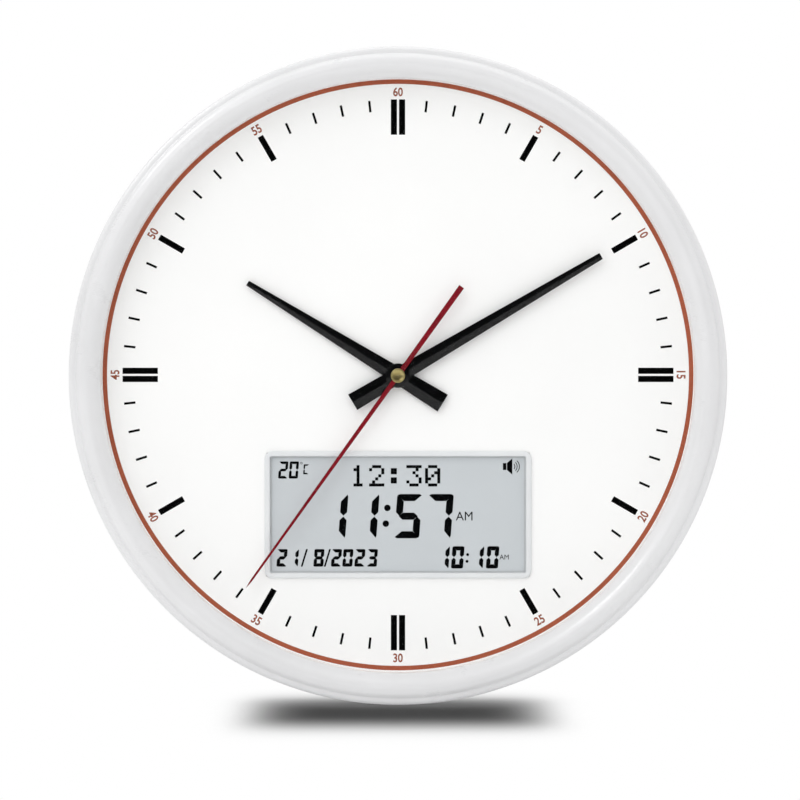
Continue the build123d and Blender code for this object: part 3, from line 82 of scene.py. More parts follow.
class Recipe:
    """Adds nodes to one tree and joins them."""

    def __init__(self, tree: bpy.types.NodeTree) -> None:
        """Works on the given tree."""
        self.tree = tree

    @staticmethod
    def emptied(holder: bpy.types.Material | bpy.types.World) -> "Recipe":
        """Recipe on the emptied tree of a material or a world."""
        holder.use_nodes = True
        holder.node_tree.nodes.clear()
        return Recipe(holder.node_tree)

    def join(self, value: Socket | Colour | float, target: Socket) -> None:
        """Links a value's socket to an input, or sets the input itself."""
        if isinstance(value, Socket):
            self.tree.links.new(value, target)
        else:
            target.default_value = (*value, 1.0) if target.type == "RGBA" else value

    def add(self, kind: str, inputs: dict | None = None, **settings: object) -> bpy.types.Node:
        """Adds one shader node.

        Args:
            kind: Node type without its ShaderNode prefix.
            inputs: Values or sockets by input name or index.
            settings: Properties of the node itself.

        Returns:
            The new node.
        """
        node = self.tree.nodes.new("ShaderNode" + kind)
        for name, value in settings.items():
            setattr(node, name, value)
        for name, value in (inputs or {}).items():
            self.join(value, node.inputs[name])
        return node

    def math(self, operation: str, first: Socket | float, second: Socket | float = 0.0) -> Socket:
        """Result of a Math node on one or two values."""
        return self.add("Math", {0: first, 1: second}, operation=operation).outputs[0]

    def product(self, *values: Socket | float) -> Socket:
        """Values multiplied from left to right."""
        return reduce(partial(self.math, "MULTIPLY"), values)

    def total(self, *values: Socket | float) -> Socket:
        """Values added from left to right."""
        return reduce(partial(self.math, "ADD"), values)

    def ranged(self, value: Socket, low: float, high: float, to_low: Socket | float = 0.0,
               to_high: Socket | float = 1.0) -> Socket:
        """Value carried from one range to another, held at the ends."""
        return self.add("MapRange", {"Value": value, "From Min": low, "From Max": high,
                                     "To Min": to_low, "To Max": to_high}).outputs["Result"]

    def blend(self, factor: Socket | float, first: Socket | Colour, second: Socket | Colour) -> Socket:
        """Colour between two colours."""
        return self.add("Mix", {0: factor, 6: first, 7: second}, data_type="RGBA").outputs[2]

    def object_place(self) -> Socket:
        """Object coordinates, in metres of the shared frame."""
        return self.add("TexCoord").outputs["Object"]

    def axes(self, place: Socket | None = None) -> dict[str, Socket]:
        """X, Y and Z of a place, by name."""
        node = self.add("SeparateXYZ", {0: place or self.object_place()})
        return {name: node.outputs[name] for name in "XYZ"}

    def noise(self, size: Socket | float, detail: float = 2.0, stretch: Colour = (1.0, 1.0, 1.0)) -> Socket:
        """Soft noise with features of about a size in millimetres."""
        place = self.add("Mapping", {"Vector": self.object_place(), "Scale": stretch}).outputs[0]
        scale = self.math("DIVIDE", 1.0 / MM, size)
        return self.add("TexNoise", {"Vector": place, "Scale": scale, "Detail": detail}).outputs["Fac"]


class Effect(Enum):
    """Node groups that several finishes share."""

    GRAIN = "surface_grain"
    TONE = "tone_drift"
    POLISH = "polish_drift"
    DUST = "settled_dust"
    WEAR = "edge_wear"
    LATHE = "lathe_lines"

    def tree(self) -> bpy.types.NodeTree:
        """Builds the node group.

        Returns:
            The group, with its inputs' usual values and its one output.
        """
        inputs, output, make = EFFECT_PARTS[self]
        tree = bpy.data.node_groups.new(self.value, "ShaderNodeTree")
        for name, value in inputs.items():
            kind = "NodeSocketColor" if isinstance(value, tuple) else "NodeSocketFloat"
            socket = tree.interface.new_socket(name, in_out="INPUT", socket_type=kind)
            socket.default_value = (*value, 1.0) if isinstance(value, tuple) else value
        kind = "NodeSocketColor" if output == "Color" else "NodeSocketFloat"
        tree.interface.new_socket(output, in_out="OUTPUT", socket_type=kind)
        start, end = tree.nodes.new("NodeGroupInput"), tree.nodes.new("NodeGroupOutput")
        recipe = Recipe(tree)
        recipe.join(make(recipe, {name: start.outputs[name] for name in inputs}), end.inputs[output])
        return tree

    def use(self, recipe: Recipe, inputs: dict[str, Socket | Colour | float]) -> Socket:
        """Places the group in a material with its own values, and gives its result."""
        node = recipe.tree.nodes.new("ShaderNodeGroup")
        node.node_tree = bpy.data.node_groups.get(self.value) or self.tree()
        for name, value in inputs.items():
            recipe.join(value, node.inputs[name])
        return node.outputs[0]


def grain_effect(recipe: Recipe, given: dict[str, Socket]) -> Socket:
    """Moulded surface: fine noise over small cells, as a height."""
    scale = recipe.math("DIVIDE", 1.0 / MM, given["Size"])
    cells = recipe.add("TexVoronoi", {"Vector": recipe.object_place(), "Scale": scale}).outputs["Distance"]
    return recipe.total(recipe.noise(given["Size"]), recipe.product(cells, 0.5))


def tone_effect(recipe: Recipe, given: dict[str, Socket]) -> Socket:
    """Slow drift between two close colours."""
    drift = recipe.ranged(recipe.noise(given["Size"], 3.0), 0.32, 0.68)
    return recipe.blend(drift, given["Light"], given["Dark"])


def polish_effect(recipe: Recipe, given: dict[str, Socket]) -> Socket:
    """Roughness that drifts between two values, with finer handling marks in it."""
    marks = recipe.total(recipe.product(recipe.noise(given["Size"], 4.0), 0.7),
                         recipe.product(recipe.noise(2.0, 1.0, (1.0, 1.0, 9.0)), 0.3))
    return recipe.ranged(marks, 0.3, 0.7, given["Low"], given["High"])


def dust_effect(recipe: Recipe, given: dict[str, Socket]) -> Socket:
    """Dust that lies where the surface looks up, broken up by noise."""
    upward = recipe.ranged(recipe.axes(recipe.add("NewGeometry").outputs["Normal"])["Z"], 0.25, 1.0)
    specks = recipe.ranged(recipe.noise(1.6, 4.0), 0.42, 0.7)
    return recipe.blend(recipe.product(upward, specks, given["Amount"]), given["Color"], given["Dust"])


def wear_effect(recipe: Recipe, given: dict[str, Socket]) -> Socket:
    """Finish rubbed thin along proud edges, where the surface is sharply convex."""
    edge = recipe.ranged(recipe.add("NewGeometry").outputs["Pointiness"], 0.53, 0.62)
    patches = recipe.ranged(recipe.noise(4.0, 3.0), 0.4, 0.65)
    return recipe.blend(recipe.product(edge, patches, given["Amount"]), given["Color"], given["Bare"])


def lathe_effect(recipe: Recipe, given: dict[str, Socket]) -> Socket:
    """Fine circles round the clock's axis, as a turned part shows them."""
    axes = recipe.axes()
    radius = recipe.math("SQRT", recipe.total(*(recipe.math("POWER", axes[name], 2.0) for name in "XZ")))
    turns = recipe.math("DIVIDE", recipe.product(radius, 2.0 * math.pi / MM), given["Pitch"])
    return recipe.math("SINE", turns)


EFFECT_PARTS = {
    Effect.GRAIN: ({"Size": 1.0}, "Height", grain_effect),
    Effect.TONE: ({"Light": (0.8, 0.8, 0.8), "Dark": (0.7, 0.7, 0.7), "Size": 30.0}, "Color", tone_effect),
    Effect.POLISH: ({"Low": 0.2, "High": 0.3, "Size": 12.0}, "Roughness", polish_effect),
    Effect.DUST: ({"Color": (0.8, 0.8, 0.8), "Dust": (0.5, 0.48, 0.44), "Amount": 0.2}, "Color", dust_effect),
    Effect.WEAR: ({"Color": (0.1, 0.1, 0.1), "Bare": (0.5, 0.5, 0.5), "Amount": 0.3}, "Color", wear_effect),
    Effect.LATHE: ({"Pitch": 0.2}, "Height", lathe_effect),
}


# ---------------------------------------------------------------- finishes

@dataclass(frozen=True)
class Finish:
    """A moulded, painted or plated surface: two close tones, a polish range, a fine relief and dust.

    Sizes are in millimetres. Relief is the height of the grain.
    """

    name: str
    light: Colour
    dark: Colour
    patch: float = 30.0
    polish: Pair = (0.3, 0.4)
    metallic: float = 0.0
    grain: float = 1.0
    relief: float = 0.01
    coat: float = 0.0
    dust: float = 0.12
    wear: float = 0.0
    bare: Colour = (0.35, 0.35, 0.36)
    specular: float = 0.5

    def colour(self, recipe: Recipe) -> Socket:
        """Base colour before wear and dust."""
        return Effect.TONE.use(recipe, {"Light": self.light, "Dark": self.dark, "Size": self.patch})

    def height(self, recipe: Recipe) -> Socket:
        """Height that the bump follows."""
        return Effect.GRAIN.use(recipe, {"Size": self.grain})

    def extra(self, recipe: Recipe, shader: bpy.types.Node) -> None:
        """Room for a finish's own sockets."""

    @cache
    def material(self) -> bpy.types.Material:
        """The material, built on first use.

        Returns:
            A material whose surface is one Principled shader fed by the shared effects.
        """
        material = bpy.data.materials.new(self.name)
        recipe = Recipe.emptied(material)
        colour = self.colour(recipe)
        if self.wear:
            colour = Effect.WEAR.use(recipe, {"Color": colour, "Bare": self.bare, "Amount": self.wear})
        if self.dust:
            colour = Effect.DUST.use(recipe, {"Color": colour, "Amount": self.dust})
        polish = Effect.POLISH.use(recipe, {"Low": self.polish[0], "High": self.polish[1]})
        bump = recipe.add(
            "Bump", {"Strength": 1.0, "Distance": self.relief * MM, "Height": self.height(recipe)})
        shader = recipe.add("BsdfPrincipled", {
            "Base Color": colour, "Roughness": polish, "Metallic": self.metallic, "Coat Weight": self.coat,
            "Coat Roughness": 0.08, "Specular IOR Level": self.specular, "Normal": bump.outputs["Normal"]})
        self.extra(recipe, shader)
        recipe.add("OutputMaterial", {"Surface": shader.outputs[0]})
        return material


@dataclass(frozen=True)
class PaneFinish(Finish):
    """Clear sheet: nearly all of it lets light straight through, with a faint film of dust specks."""

    veil: float = 0.05
    speck: float = 0.1

    def extra(self, recipe: Recipe, shader: bpy.types.Node) -> None:
        """Thins the sheet to its veil, thicker at the specks."""
        specks = recipe.ranged(recipe.noise(0.9, 3.0), 0.6, 0.75, self.veil, self.veil + self.speck)
        recipe.join(specks, shader.inputs["Alpha"])


@dataclass(frozen=True)
class LatheFinish(Finish):
    """Metal turned about the clock's axis."""

    pitch: float = 0.25

    def height(self, recipe: Recipe) -> Socket:
        """Fine circles with a little grain over them."""
        lines = Effect.LATHE.use(recipe, {"Pitch": self.pitch})
        return recipe.total(recipe.product(lines, 0.3), Finish.height(self, recipe))


@dataclass(frozen=True)
class BandFinish(Finish):
    """Layers or turns side by side along one axis of the frame: stacked sheet or wound wire."""

    axis: str = "Y"
    pitch: float = 0.35
    gap: Colour = (0.02, 0.02, 0.02)

    def wave(self, recipe: Recipe) -> Socket:
        """One rounded hump for each layer."""
        turns = recipe.product(recipe.axes()[self.axis], math.pi / MM / self.pitch)
        return recipe.math("ABSOLUTE", recipe.math("SINE", turns))

    def colour(self, recipe: Recipe) -> Socket:
        """Dark in the joints between layers."""
        return recipe.blend(recipe.ranged(self.wave(recipe), 0.1, 0.5), self.gap, Finish.colour(self, recipe))

    def height(self, recipe: Recipe) -> Socket:
        """The humps themselves."""
        return recipe.math("POWER", self.wave(recipe), 0.5)


@dataclass(frozen=True)
class BoardFinish(Finish):
    """Circuit board: lacquer over copper lanes, with tinned dots."""

    lane: float = 2.6
    dot_gap: float = 4.2
    copper: Colour = (0.09, 0.30, 0.12)
    tin: Colour = (0.55, 0.55, 0.52)

    def lanes(self, recipe: Recipe) -> Socket:
        """1 on a copper lane and 0 between lanes."""
        place = recipe.add("Mapping", {"Vector": recipe.object_place(),
                                       "Rotation": (math.pi / 2, 0.0, 0.0)}).outputs[0]
        brick = recipe.add("TexBrick", {"Vector": place, "Scale": 1.0 / MM / self.lane, "Mortar Size": 0.12,
                                        "Brick Width": 2.2, "Row Height": 0.5, "Mortar Smooth": 0.1})
        return brick.outputs["Fac"]

    def colour(self, recipe: Recipe) -> Socket:
        """Lacquer, lighter over the lanes, with tinned dots in a loose pattern."""
        lacquer = Finish.colour(self, recipe)
        over = recipe.blend(recipe.product(self.lanes(recipe), 0.55), lacquer, self.copper)
        cells = recipe.add("TexVoronoi", {"Vector": recipe.object_place(), "Scale": 1.0 / MM / self.dot_gap})
        dots = recipe.ranged(cells.outputs["Distance"], 0.12, 0.16, 1.0, 0.0)
        return recipe.blend(dots, over, self.tin)

    def height(self, recipe: Recipe) -> Socket:
        """Lanes stand a little proud."""
        return self.lanes(recipe)


@dataclass(frozen=True)
class DisplayFinish(Finish):
    """Grey field of a reflective liquid-crystal display, with a darker line along the window's edge for the
    dark gap there and the frame's painted shadow.
    """

    middle: Pair = (0.0, -68.1)
    half: Pair = (62.65, 28.5)
    # Colour of the edge line: the window's dark gap, with the frame's shadow painted into it
    gap_shade_colour: Colour = (0.42, 0.43, 0.44)
    line: float = 0.8

    def colour(self, recipe: Recipe) -> Socket:
        """Field, darker along a line inside the window's edge: the dark gap and the frame's painted shadow.
        """
        axes = recipe.axes()
        gaps = []
        for name, centre, half in zip("XZ", self.middle, self.half):
            away = recipe.math("ABSOLUTE", recipe.math("SUBTRACT", axes[name], centre * MM))
            gaps.append(recipe.math("SUBTRACT", half * MM, away))
        inside = recipe.math("MINIMUM", *gaps)
        # Painted shade: the gap and shadow colour fades in over the last line width inside the window
        edge = recipe.ranged(inside, 0.0, self.line * MM, 1.0, 0.0)
        return recipe.blend(edge, Finish.colour(self, recipe), self.gap_shade_colour)


WHITE_GLOSS = Finish("white_gloss_plastic", paint(229, 229, 230), paint(225, 225, 226), 40.0, (0.26, 0.34),
                     grain=1.6, relief=0.0012, coat=0.25, dust=0.02)
WHITE_FRAME = Finish("white_satin_plastic", paint(232, 234, 235), paint(227, 229, 231), 25.0, (0.26, 0.34),
                     grain=0.8, relief=0.003, dust=0.08)
WHITE_MATTE = Finish("white_matte_plastic", paint(228, 228, 226), paint(224, 224, 221), 60.0, (0.42, 0.52),
                     grain=0.7, relief=0.025, dust=0.16, wear=0.15, bare=(0.9, 0.9, 0.88))
SLEEVE_WHITE = Finish("white_sleeve_plastic", paint(252, 252, 251), paint(249, 249, 248), 30.0, (0.4, 0.5),
                      grain=0.8, relief=0.004, dust=0.05)
PANE = PaneFinish("clear_sheet", paint(120, 124, 124), paint(108, 112, 113), 60.0, (0.02, 0.05), grain=40.0,
                  relief=0.002, dust=0.0, veil=0.004, speck=0.01)
DIAL_WHITE = Finish("dial_card", paint(253, 253, 252), paint(251, 251, 250), 60.0, (0.55, 0.65), grain=0.35,
                    relief=0.0015, dust=0.0, specular=0.2)
INK_BLACK = Finish("black_ink", paint(1, 1, 1), paint(4, 4, 4), 9.0, (0.45, 0.6), grain=0.3, relief=0.002,
                   dust=0.0, specular=0.01)
INK_ORANGE = Finish("orange_ink", paint(172, 92, 66), paint(164, 86, 61), 18.0, (0.35, 0.5), grain=0.3,
                    relief=0.002, dust=0.0, specular=0.12)
INK_BROWN = Finish("brown_orange_ink", paint(156, 88, 66), paint(146, 80, 58), 6.0, (0.35, 0.5), grain=0.3,
                   relief=0.002, dust=0.0, specular=0.12)
INK_GREY = Finish("grey_ink", paint(74, 76, 78), paint(64, 66, 68), 6.0, (0.4, 0.55), grain=0.3, relief=0.002,
                  dust=0.1, specular=0.2)
INK_PALE = Finish("pale_ink", paint(190, 190, 188), paint(180, 180, 178), 6.0, (0.4, 0.55), grain=0.3,
                  relief=0.002, dust=0.1, specular=0.2)
HAND_BLACK = Finish("black_hand_paint", paint(4, 4, 5), paint(2, 2, 3), 12.0, (0.15, 0.21), grain=0.6,
                    relief=0.0025, dust=0.005, wear=0.02, specular=0.33)
HAND_RED = Finish("red_hand_paint", paint(130, 6, 24), paint(114, 4, 20), 10.0, (0.18, 0.26), grain=0.5,
                  relief=0.003, dust=0.01, wear=0.03, specular=0.16)
BRASS = LatheFinish("turned_brass", (0.52, 0.44, 0.20), (0.42, 0.34, 0.13), 3.0, (0.3, 0.38), 1.0, 0.6, 0.003,
                    dust=0.05, wear=0.25, bare=(0.80, 0.76, 0.52), pitch=0.3)
RUBBER = Finish("black_rubber", paint(34, 34, 34), paint(24, 24, 24), 5.0, (0.75, 0.9), grain=0.5,
                relief=0.03, dust=0.3)
GEAR_WHITE = Finish("white_gear_resin", paint(232, 228, 214), paint(222, 217, 202), 5.0, (0.3, 0.42),
                    grain=0.4, relief=0.004, dust=0.05)
GEAR_BLACK = Finish("black_gear_resin", paint(38, 38, 40), paint(28, 28, 30), 5.0, (0.3, 0.42), grain=0.4,
                    relief=0.004, dust=0.08, wear=0.2)
SMOKED = Finish("smoked_movement_resin", paint(88, 92, 96), paint(74, 78, 82), 8.0, (0.12, 0.2), grain=3.0,
                relief=0.003, dust=0.05)
MOVEMENT_BLACK = Finish("black_movement_resin", paint(30, 30, 32), paint(22, 22, 24), 10.0, (0.4, 0.55),
                        grain=0.45, relief=0.02, dust=0.25, wear=0.2)
LAMINATION = BandFinish("stacked_iron_sheet", (0.42, 0.42, 0.44), (0.34, 0.34, 0.36), 6.0, (0.35, 0.5), 0.9,
                        0.5, 0.03, dust=0.05, pitch=0.35)
WINDING = BandFinish("enamelled_winding", (0.62, 0.20, 0.07), (0.50, 0.14, 0.05), 3.0, (0.25, 0.35), 0.85,
                     0.3, 0.05, dust=0.0, axis="Z", pitch=0.22, gap=(0.10, 0.02, 0.01))
BOARD_GREEN = BoardFinish("green_board_lacquer", paint(28, 92, 52), paint(22, 80, 44), 9.0, (0.2, 0.32),
                          relief=0.03, dust=0.15)
PLATED = Finish("nickel_plate", (0.66, 0.66, 0.64), (0.58, 0.58, 0.57), 6.0, (0.2, 0.34), 1.0, 0.6, 0.004,
                dust=0.1, wear=0.1)
ZINC = Finish("zinc_screw_plate", (0.60, 0.61, 0.63), (0.52, 0.53, 0.55), 2.0, (0.28, 0.42), 1.0, 0.4, 0.01,
              dust=0.1, wear=0.2, bare=(0.8, 0.8, 0.8))
JACKET = Finish("cell_jacket_film", paint(42, 84, 128), paint(36, 76, 118), 20.0, (0.22, 0.3), grain=2.0,
                relief=0.004, dust=0.08, wear=0.3, bare=(0.6, 0.6, 0.6))
DISPLAY_GREY = DisplayFinish("display_field", paint(203, 208, 211), paint(200, 205, 208), 50.0, (0.3, 0.36),
                             grain=0.35, relief=0.0015, dust=0.0, specular=0.2)
# Grey of the strip round the display's window: darker than the field, it stands for the dark gap there and
# paints in the frame's shadow
GAP_SHADE_GREY = Finish("gap_shade_strip", paint(192, 195, 197), paint(186, 189, 191), 8.0, (0.5, 0.65), grain=0.4,
                     relief=0.003, dust=0.0, specular=0.2)
DISPLAY_GLASS = PaneFinish("cell_glass", paint(196, 206, 202), paint(186, 198, 194), 20.0, (0.03, 0.06),
                           grain=20.0, relief=0.001, dust=0.0, veil=0.35, speck=0.05)
REFLECTOR = Finish("reflector_foil", (0.72, 0.74, 0.74), (0.66, 0.68, 0.68), 10.0, (0.3, 0.4), 0.7, 0.4,
                   0.004, dust=0.0)
SEGMENT = Finish("display_segment", paint(1, 2, 3), paint(5, 6, 7), 6.0, (0.45, 0.55), grain=0.3,
                 relief=0.001, dust=0.0, specular=0.01)
ZEBRA = BandFinish("striped_rubber", paint(60, 60, 62), paint(46, 46, 48), 3.0, (0.6, 0.75), grain=0.4,
                   relief=0.02, dust=0.0, axis="X", pitch=0.8, gap=(0.3, 0.14, 0.12))
CHIP = Finish("chip_epoxy", paint(38, 38, 40), paint(30, 30, 32), 4.0, (0.5, 0.62), grain=0.25, relief=0.01,
              dust=0.15)
KEY_GREY = Finish("grey_key_resin", paint(150, 152, 154), paint(142, 144, 146), 4.0, (0.38, 0.5), grain=0.4,
                  relief=0.015, dust=0.2, wear=0.3, bare=(0.6, 0.6, 0.6))
SWITCH_STEEL = Finish("pressed_steel", (0.48, 0.48, 0.49), (0.40, 0.40, 0.42), 8.0, (0.32, 0.46), 1.0, 0.8,
                      0.008, dust=0.15, wear=0.15, bare=(0.7, 0.7, 0.7))
PAPER = Finish("cone_paper", paint(56, 53, 50), paint(44, 42, 40), 4.0, (0.8, 0.92), grain=0.5, relief=0.04,
               dust=0.2)
FERRITE = Finish("ferrite_magnet", paint(60, 60, 62), paint(48, 48, 50), 5.0, (0.55, 0.7), grain=0.4,
                 relief=0.02, dust=0.15)

NODE_FINISHES: dict[Finish, tuple[str, ...]] = {
    DIAL_WHITE: ("dial_plate",),
    BRASS: ("hand_nut", "nut_washer"),
    RUBBER: ("dial_washer",),
    GEAR_WHITE: ("intermediate_wheel", "second_wheel", "third_wheel", "minute_wheel"),
    GEAR_BLACK: ("rotor", "centre_wheel", "hour_wheel"),
    SMOKED: ("middle_plate",),
    LAMINATION: ("stator",),
    WINDING: ("coil",),
    BOARD_GREEN: ("movement_board", "main_board"),
    PLATED: ("quartz_crystal", "movement_contacts", "battery_contacts"),
    ZINC: ("module_screws", "speaker_screws"),
    DISPLAY_GREY: ("lcd_polariser",),
    DISPLAY_GLASS: ("lcd_front_glass", "lcd_rear_glass"),
    REFLECTOR: ("lcd_reflector",),
    ZEBRA: ("contact_strips",),
    CHIP: ("board_chips",),
    SWITCH_STEEL: ("tact_switches", "slide_switch", "speaker_basket"),
    PAPER: ("speaker_cone",),
    FERRITE: ("speaker_magnet",),
    WHITE_MATTE: ("lcd_holder",),
}


# ---------------------------------------------------------------- surfaces

def quads(rows: int, columns: int, close_rows: bool = False, close_columns: bool = False) -> Array:
    """Corner numbers of a grid's cells, one row of four for each cell.

    Args:
        rows: Grid rows.
        columns: Grid columns.
        close_rows: Whether the last row meets the first.
        close_columns: Whether the last column meets the first.

    Returns:
        Four corner numbers for each cell.
    """
    row, column = np.meshgrid(np.arange(rows if close_rows else rows - 1),
                              np.arange(columns if close_columns else columns - 1), indexing="ij")
    row_start, below_start, beside = row * columns, (row + 1) % rows * columns, (column + 1) % columns
    corners = (row_start + column, below_start + column, below_start + beside, row_start + beside)
    return np.stack(corners, axis=-1).reshape(-1, 4)


@dataclass
class Shell:
    """A closed surface: points as right, up and out in millimetres, and faces by corner count."""

    points: Array
    faces: list[Array]

    @staticmethod
    def grid(points: Array, close_rows: bool = False, close_columns: bool = False) -> "Shell":
        """Surface through a grid of points."""
        rows, columns = points.shape[:2]
        return Shell(points.reshape(-1, 3), [quads(rows, columns, close_rows, close_columns)])

    @staticmethod
    def joined(shells: list["Shell"]) -> "Shell":
        """Several shells as one."""
        starts = np.cumsum([0] + [len(shell.points) for shell in shells[:-1]])
        faces = [face + start for shell, start in zip(shells, starts) for face in shell.faces]
        return Shell(np.concatenate([shell.points for shell in shells]), faces)

    def placed(self, right: float = 0.0, up: float = 0.0, out: float = 0.0, turn: float = 0.0) -> "Shell":
        """The shell turned clockwise as seen from the front, in degrees, then shifted."""
        angle = -math.radians(turn)
        spin = np.array([[math.cos(angle), -math.sin(angle), 0.0], [math.sin(angle), math.cos(angle), 0.0],
                         [0.0, 0.0, 1.0]])
        return Shell(self.points @ spin.T + (right, up, out), self.faces)


def spun(profile: list[Pair] | Array, steps: int = TURN_STEPS, closed: bool = False) -> Shell:
    """Profile of (radius, out) turned about the axis: x = r sin a, y = r cos a, with a over a full turn.

    Args:
        profile: Pairs in order. An open profile starts and ends on the axis.
        steps: Steps in a turn.
        closed: Whether the profile is a loop, as in a ring.

    Returns:
        The closed surface.
    """
    radius, out = np.asarray(profile, float).T
    angle = np.linspace(0.0, 2.0 * np.pi, steps, endpoint=False)
    points = np.stack((np.outer(radius, np.sin(angle)), np.outer(radius, np.cos(angle)),
                       np.repeat(out[:, None], steps, axis=1)), axis=-1)
    return Shell.grid(points, close_rows=closed, close_columns=True)


def prism(outline: Array, low: float, high: float) -> Shell:
    """Flat outline of (right, up) points carried straight from one height to another."""
    count = len(outline)
    loops = np.stack([np.column_stack((outline, np.full(count, out))) for out in (low, high)])
    walls = Shell.grid(loops, close_columns=True)
    ends = np.array([np.arange(count), np.arange(count, 2 * count)])
    return Shell(walls.points, walls.faces + [ends])


def bar(left: float, right: float, bottom: float, top: float, low: float, high: float) -> Shell:
    """Straight block between two corners."""
    return prism(np.array([(left, bottom), (right, bottom), (right, top), (left, top)]), low, high)


def rounded_path(width: float, height: float, corner: float, steps: int = 10) -> Array:
    """Rectangle with round corners: each corner's centre plus a quarter circle about it.

    Args:
        width: Overall width.
        height: Overall height.
        corner: Corner radius.
        steps: Pairs on each corner.

    Returns:
        (right, up) points round the rectangle.
    """
    quarter = np.linspace(0.0, np.pi / 2.0, steps)
    angle = (quarter[None, :] + np.arange(4)[:, None] * np.pi / 2.0).ravel()
    signs = np.repeat(np.array([(1, 1), (-1, 1), (-1, -1), (1, -1)]), steps, axis=0)
    centre = signs * (width / 2.0 - corner, height / 2.0 - corner)
    return centre + corner * np.column_stack((np.cos(angle), np.sin(angle)))


def arc(start: Pair, middle: Pair, end: Pair, steps: int = 9) -> Array:
    """Smooth run of points through three: a parabola weighted so that it passes the middle point."""
    t = np.linspace(0.0, 1.0, steps)[:, None]
    first, centre, last = (np.array(point, float) for point in (start, middle, end))
    pull = 2.0 * centre - 0.5 * (first + last)
    return (1 - t) ** 2 * first + 2 * t * (1 - t) * pull + t ** 2 * last


def in_frame(points: Array) -> Array:
    """(right, up, out) in millimetres as the shared frame's metres: x = right, y = -out, z = up."""
    return np.stack((points[:, 0], -points[:, 2], points[:, 1]), axis=-1) * MM


@dataclass
class Piece:
    """A finished piece: its name, surface, body, slot and finish, and the CAD nodes that it stands for."""

    name: str
    shell: Shell
    body: str
    slot: str
    finish: Finish
    replaces: tuple[str, ...] = ()
    crease: float = 35.0

    def build(self) -> None:
        """Makes the mesh, closes its seams, dresses it and hands it to its body."""
        mesh = bpy.data.meshes.new(self.name)
        mesh.from_pydata(in_frame(self.shell.points).tolist(), [],
                         [face for group in self.shell.faces for face in group.tolist()])
        finished(mesh, self.name, self.body, self.finish, self.replaces, self.crease)


def finished(mesh: bpy.types.Mesh, name: str, body: str, finish: Finish, replaces: tuple[str, ...],
             crease: float, edge: float = 0.0) -> None:
    """Closes a mesh, turns its faces outwards and makes it a piece of the clock at the origin.

    Args:
        mesh: Mesh in the shared frame.
        name: Name of the piece.
        body: CAD body that it rides on.
        finish: Its finish.
        replaces: CAD nodes that it stands for.
        crease: Angle from which an edge stays sharp, in degrees.
        edge: Width of the rounding along its edges, in millimetres.
    """
    work = bmesh.new()
    work.from_mesh(mesh)
    bmesh.ops.remove_doubles(work, verts=work.verts, dist=WELD)
    bmesh.ops.dissolve_degenerate(work, edges=work.edges, dist=WELD / 20.0)
    bmesh.ops.recalc_face_normals(work, faces=work.faces)
    work.to_mesh(mesh)
    work.free()
    mesh.polygons.foreach_set("use_smooth", np.ones(len(mesh.polygons), bool))
    mesh.set_sharp_from_angle(angle=math.radians(crease))
    mesh.materials.clear()
    mesh.materials.append(finish.material())
    piece = linked(name, mesh)
    if edge:
        bevel = piece.modifiers.new("rounded_edges", "BEVEL")
        bevel.width, bevel.segments, bevel.limit_method = edge * MM, 3, "ANGLE"
        bevel.angle_limit, bevel.use_clamp_overlap = math.radians(crease), True
    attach(piece, body)
    if replaces:
        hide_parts(*replaces)
    log.info("%s: %d faces on %s", name, len(mesh.polygons), body)


def softened(node: str, body: str, finish: Finish, edge: float, flat: bool = True) -> None:
    """Makes a piece that stands for a CAD node: its copy, with corners merged and edges rounded.

    Args:
        node: CAD node.
        body: Body that it rides on.
        finish: Its finish.
        edge: Rounding in millimetres.
        flat: Whether coplanar triangles are joined into flat faces first.
    """
    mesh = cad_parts[node].data.copy()
    mesh.name = node + "_finished"
    work = bmesh.new()
    work.from_mesh(mesh)
    bmesh.ops.remove_doubles(work, verts=work.verts, dist=WELD)
    if flat:
        bmesh.ops.dissolve_limit(work, angle_limit=math.radians(1.0), verts=work.verts, edges=work.edges)
    work.to_mesh(mesh)
    work.free()
    finished(mesh, node + "_finished", body, finish, (node,), CORNER, edge)


def lettering(words: str, height: float, thickness: float, squeeze: float = 0.95,
              weight: float = 0.0) -> Shell:
    """Flat sans-serif figures or words as a thin closed shell, centred on the origin.

    Args:
        words: What is written.
        height: Height of a capital, in millimetres.
        thickness: How far it stands up.
        squeeze: Width relative to the plain face.
        weight: Outward growth of the strokes, in millimetres.

    Returns:
        The shell, with its foot at height 0.
    """
    curve = bpy.data.curves.new("lettering", "FONT")
    curve.body, curve.size, curve.resolution_u = words, 1.0, 4
    curve.extrude, curve.offset = 0.5, weight / height * CAPITAL
    holder = linked("lettering", curve)
    mesh = bpy.data.meshes.new_from_object(holder.evaluated_get(bpy.context.evaluated_depsgraph_get()))
    points = np.empty(len(mesh.vertices) * 3)
    mesh.vertices.foreach_get("co", points)
    points = points.reshape(-1, 3)
    faces = [np.array([list(face.vertices)]) for face in mesh.polygons]
    bpy.data.objects.remove(holder)
    bpy.data.meshes.remove(mesh)
    low, high = points.min(axis=0), points.max(axis=0)
    scale = height / (high[1] - low[1])
    points = (points - (low + high) / 2.0) * (scale * squeeze, scale, thickness / (high[2] - low[2]))
    points[:, 2] += thickness / 2.0
    return Shell(points, faces)


# ---------------------------------------------------------------- the clock's sub-assemblies

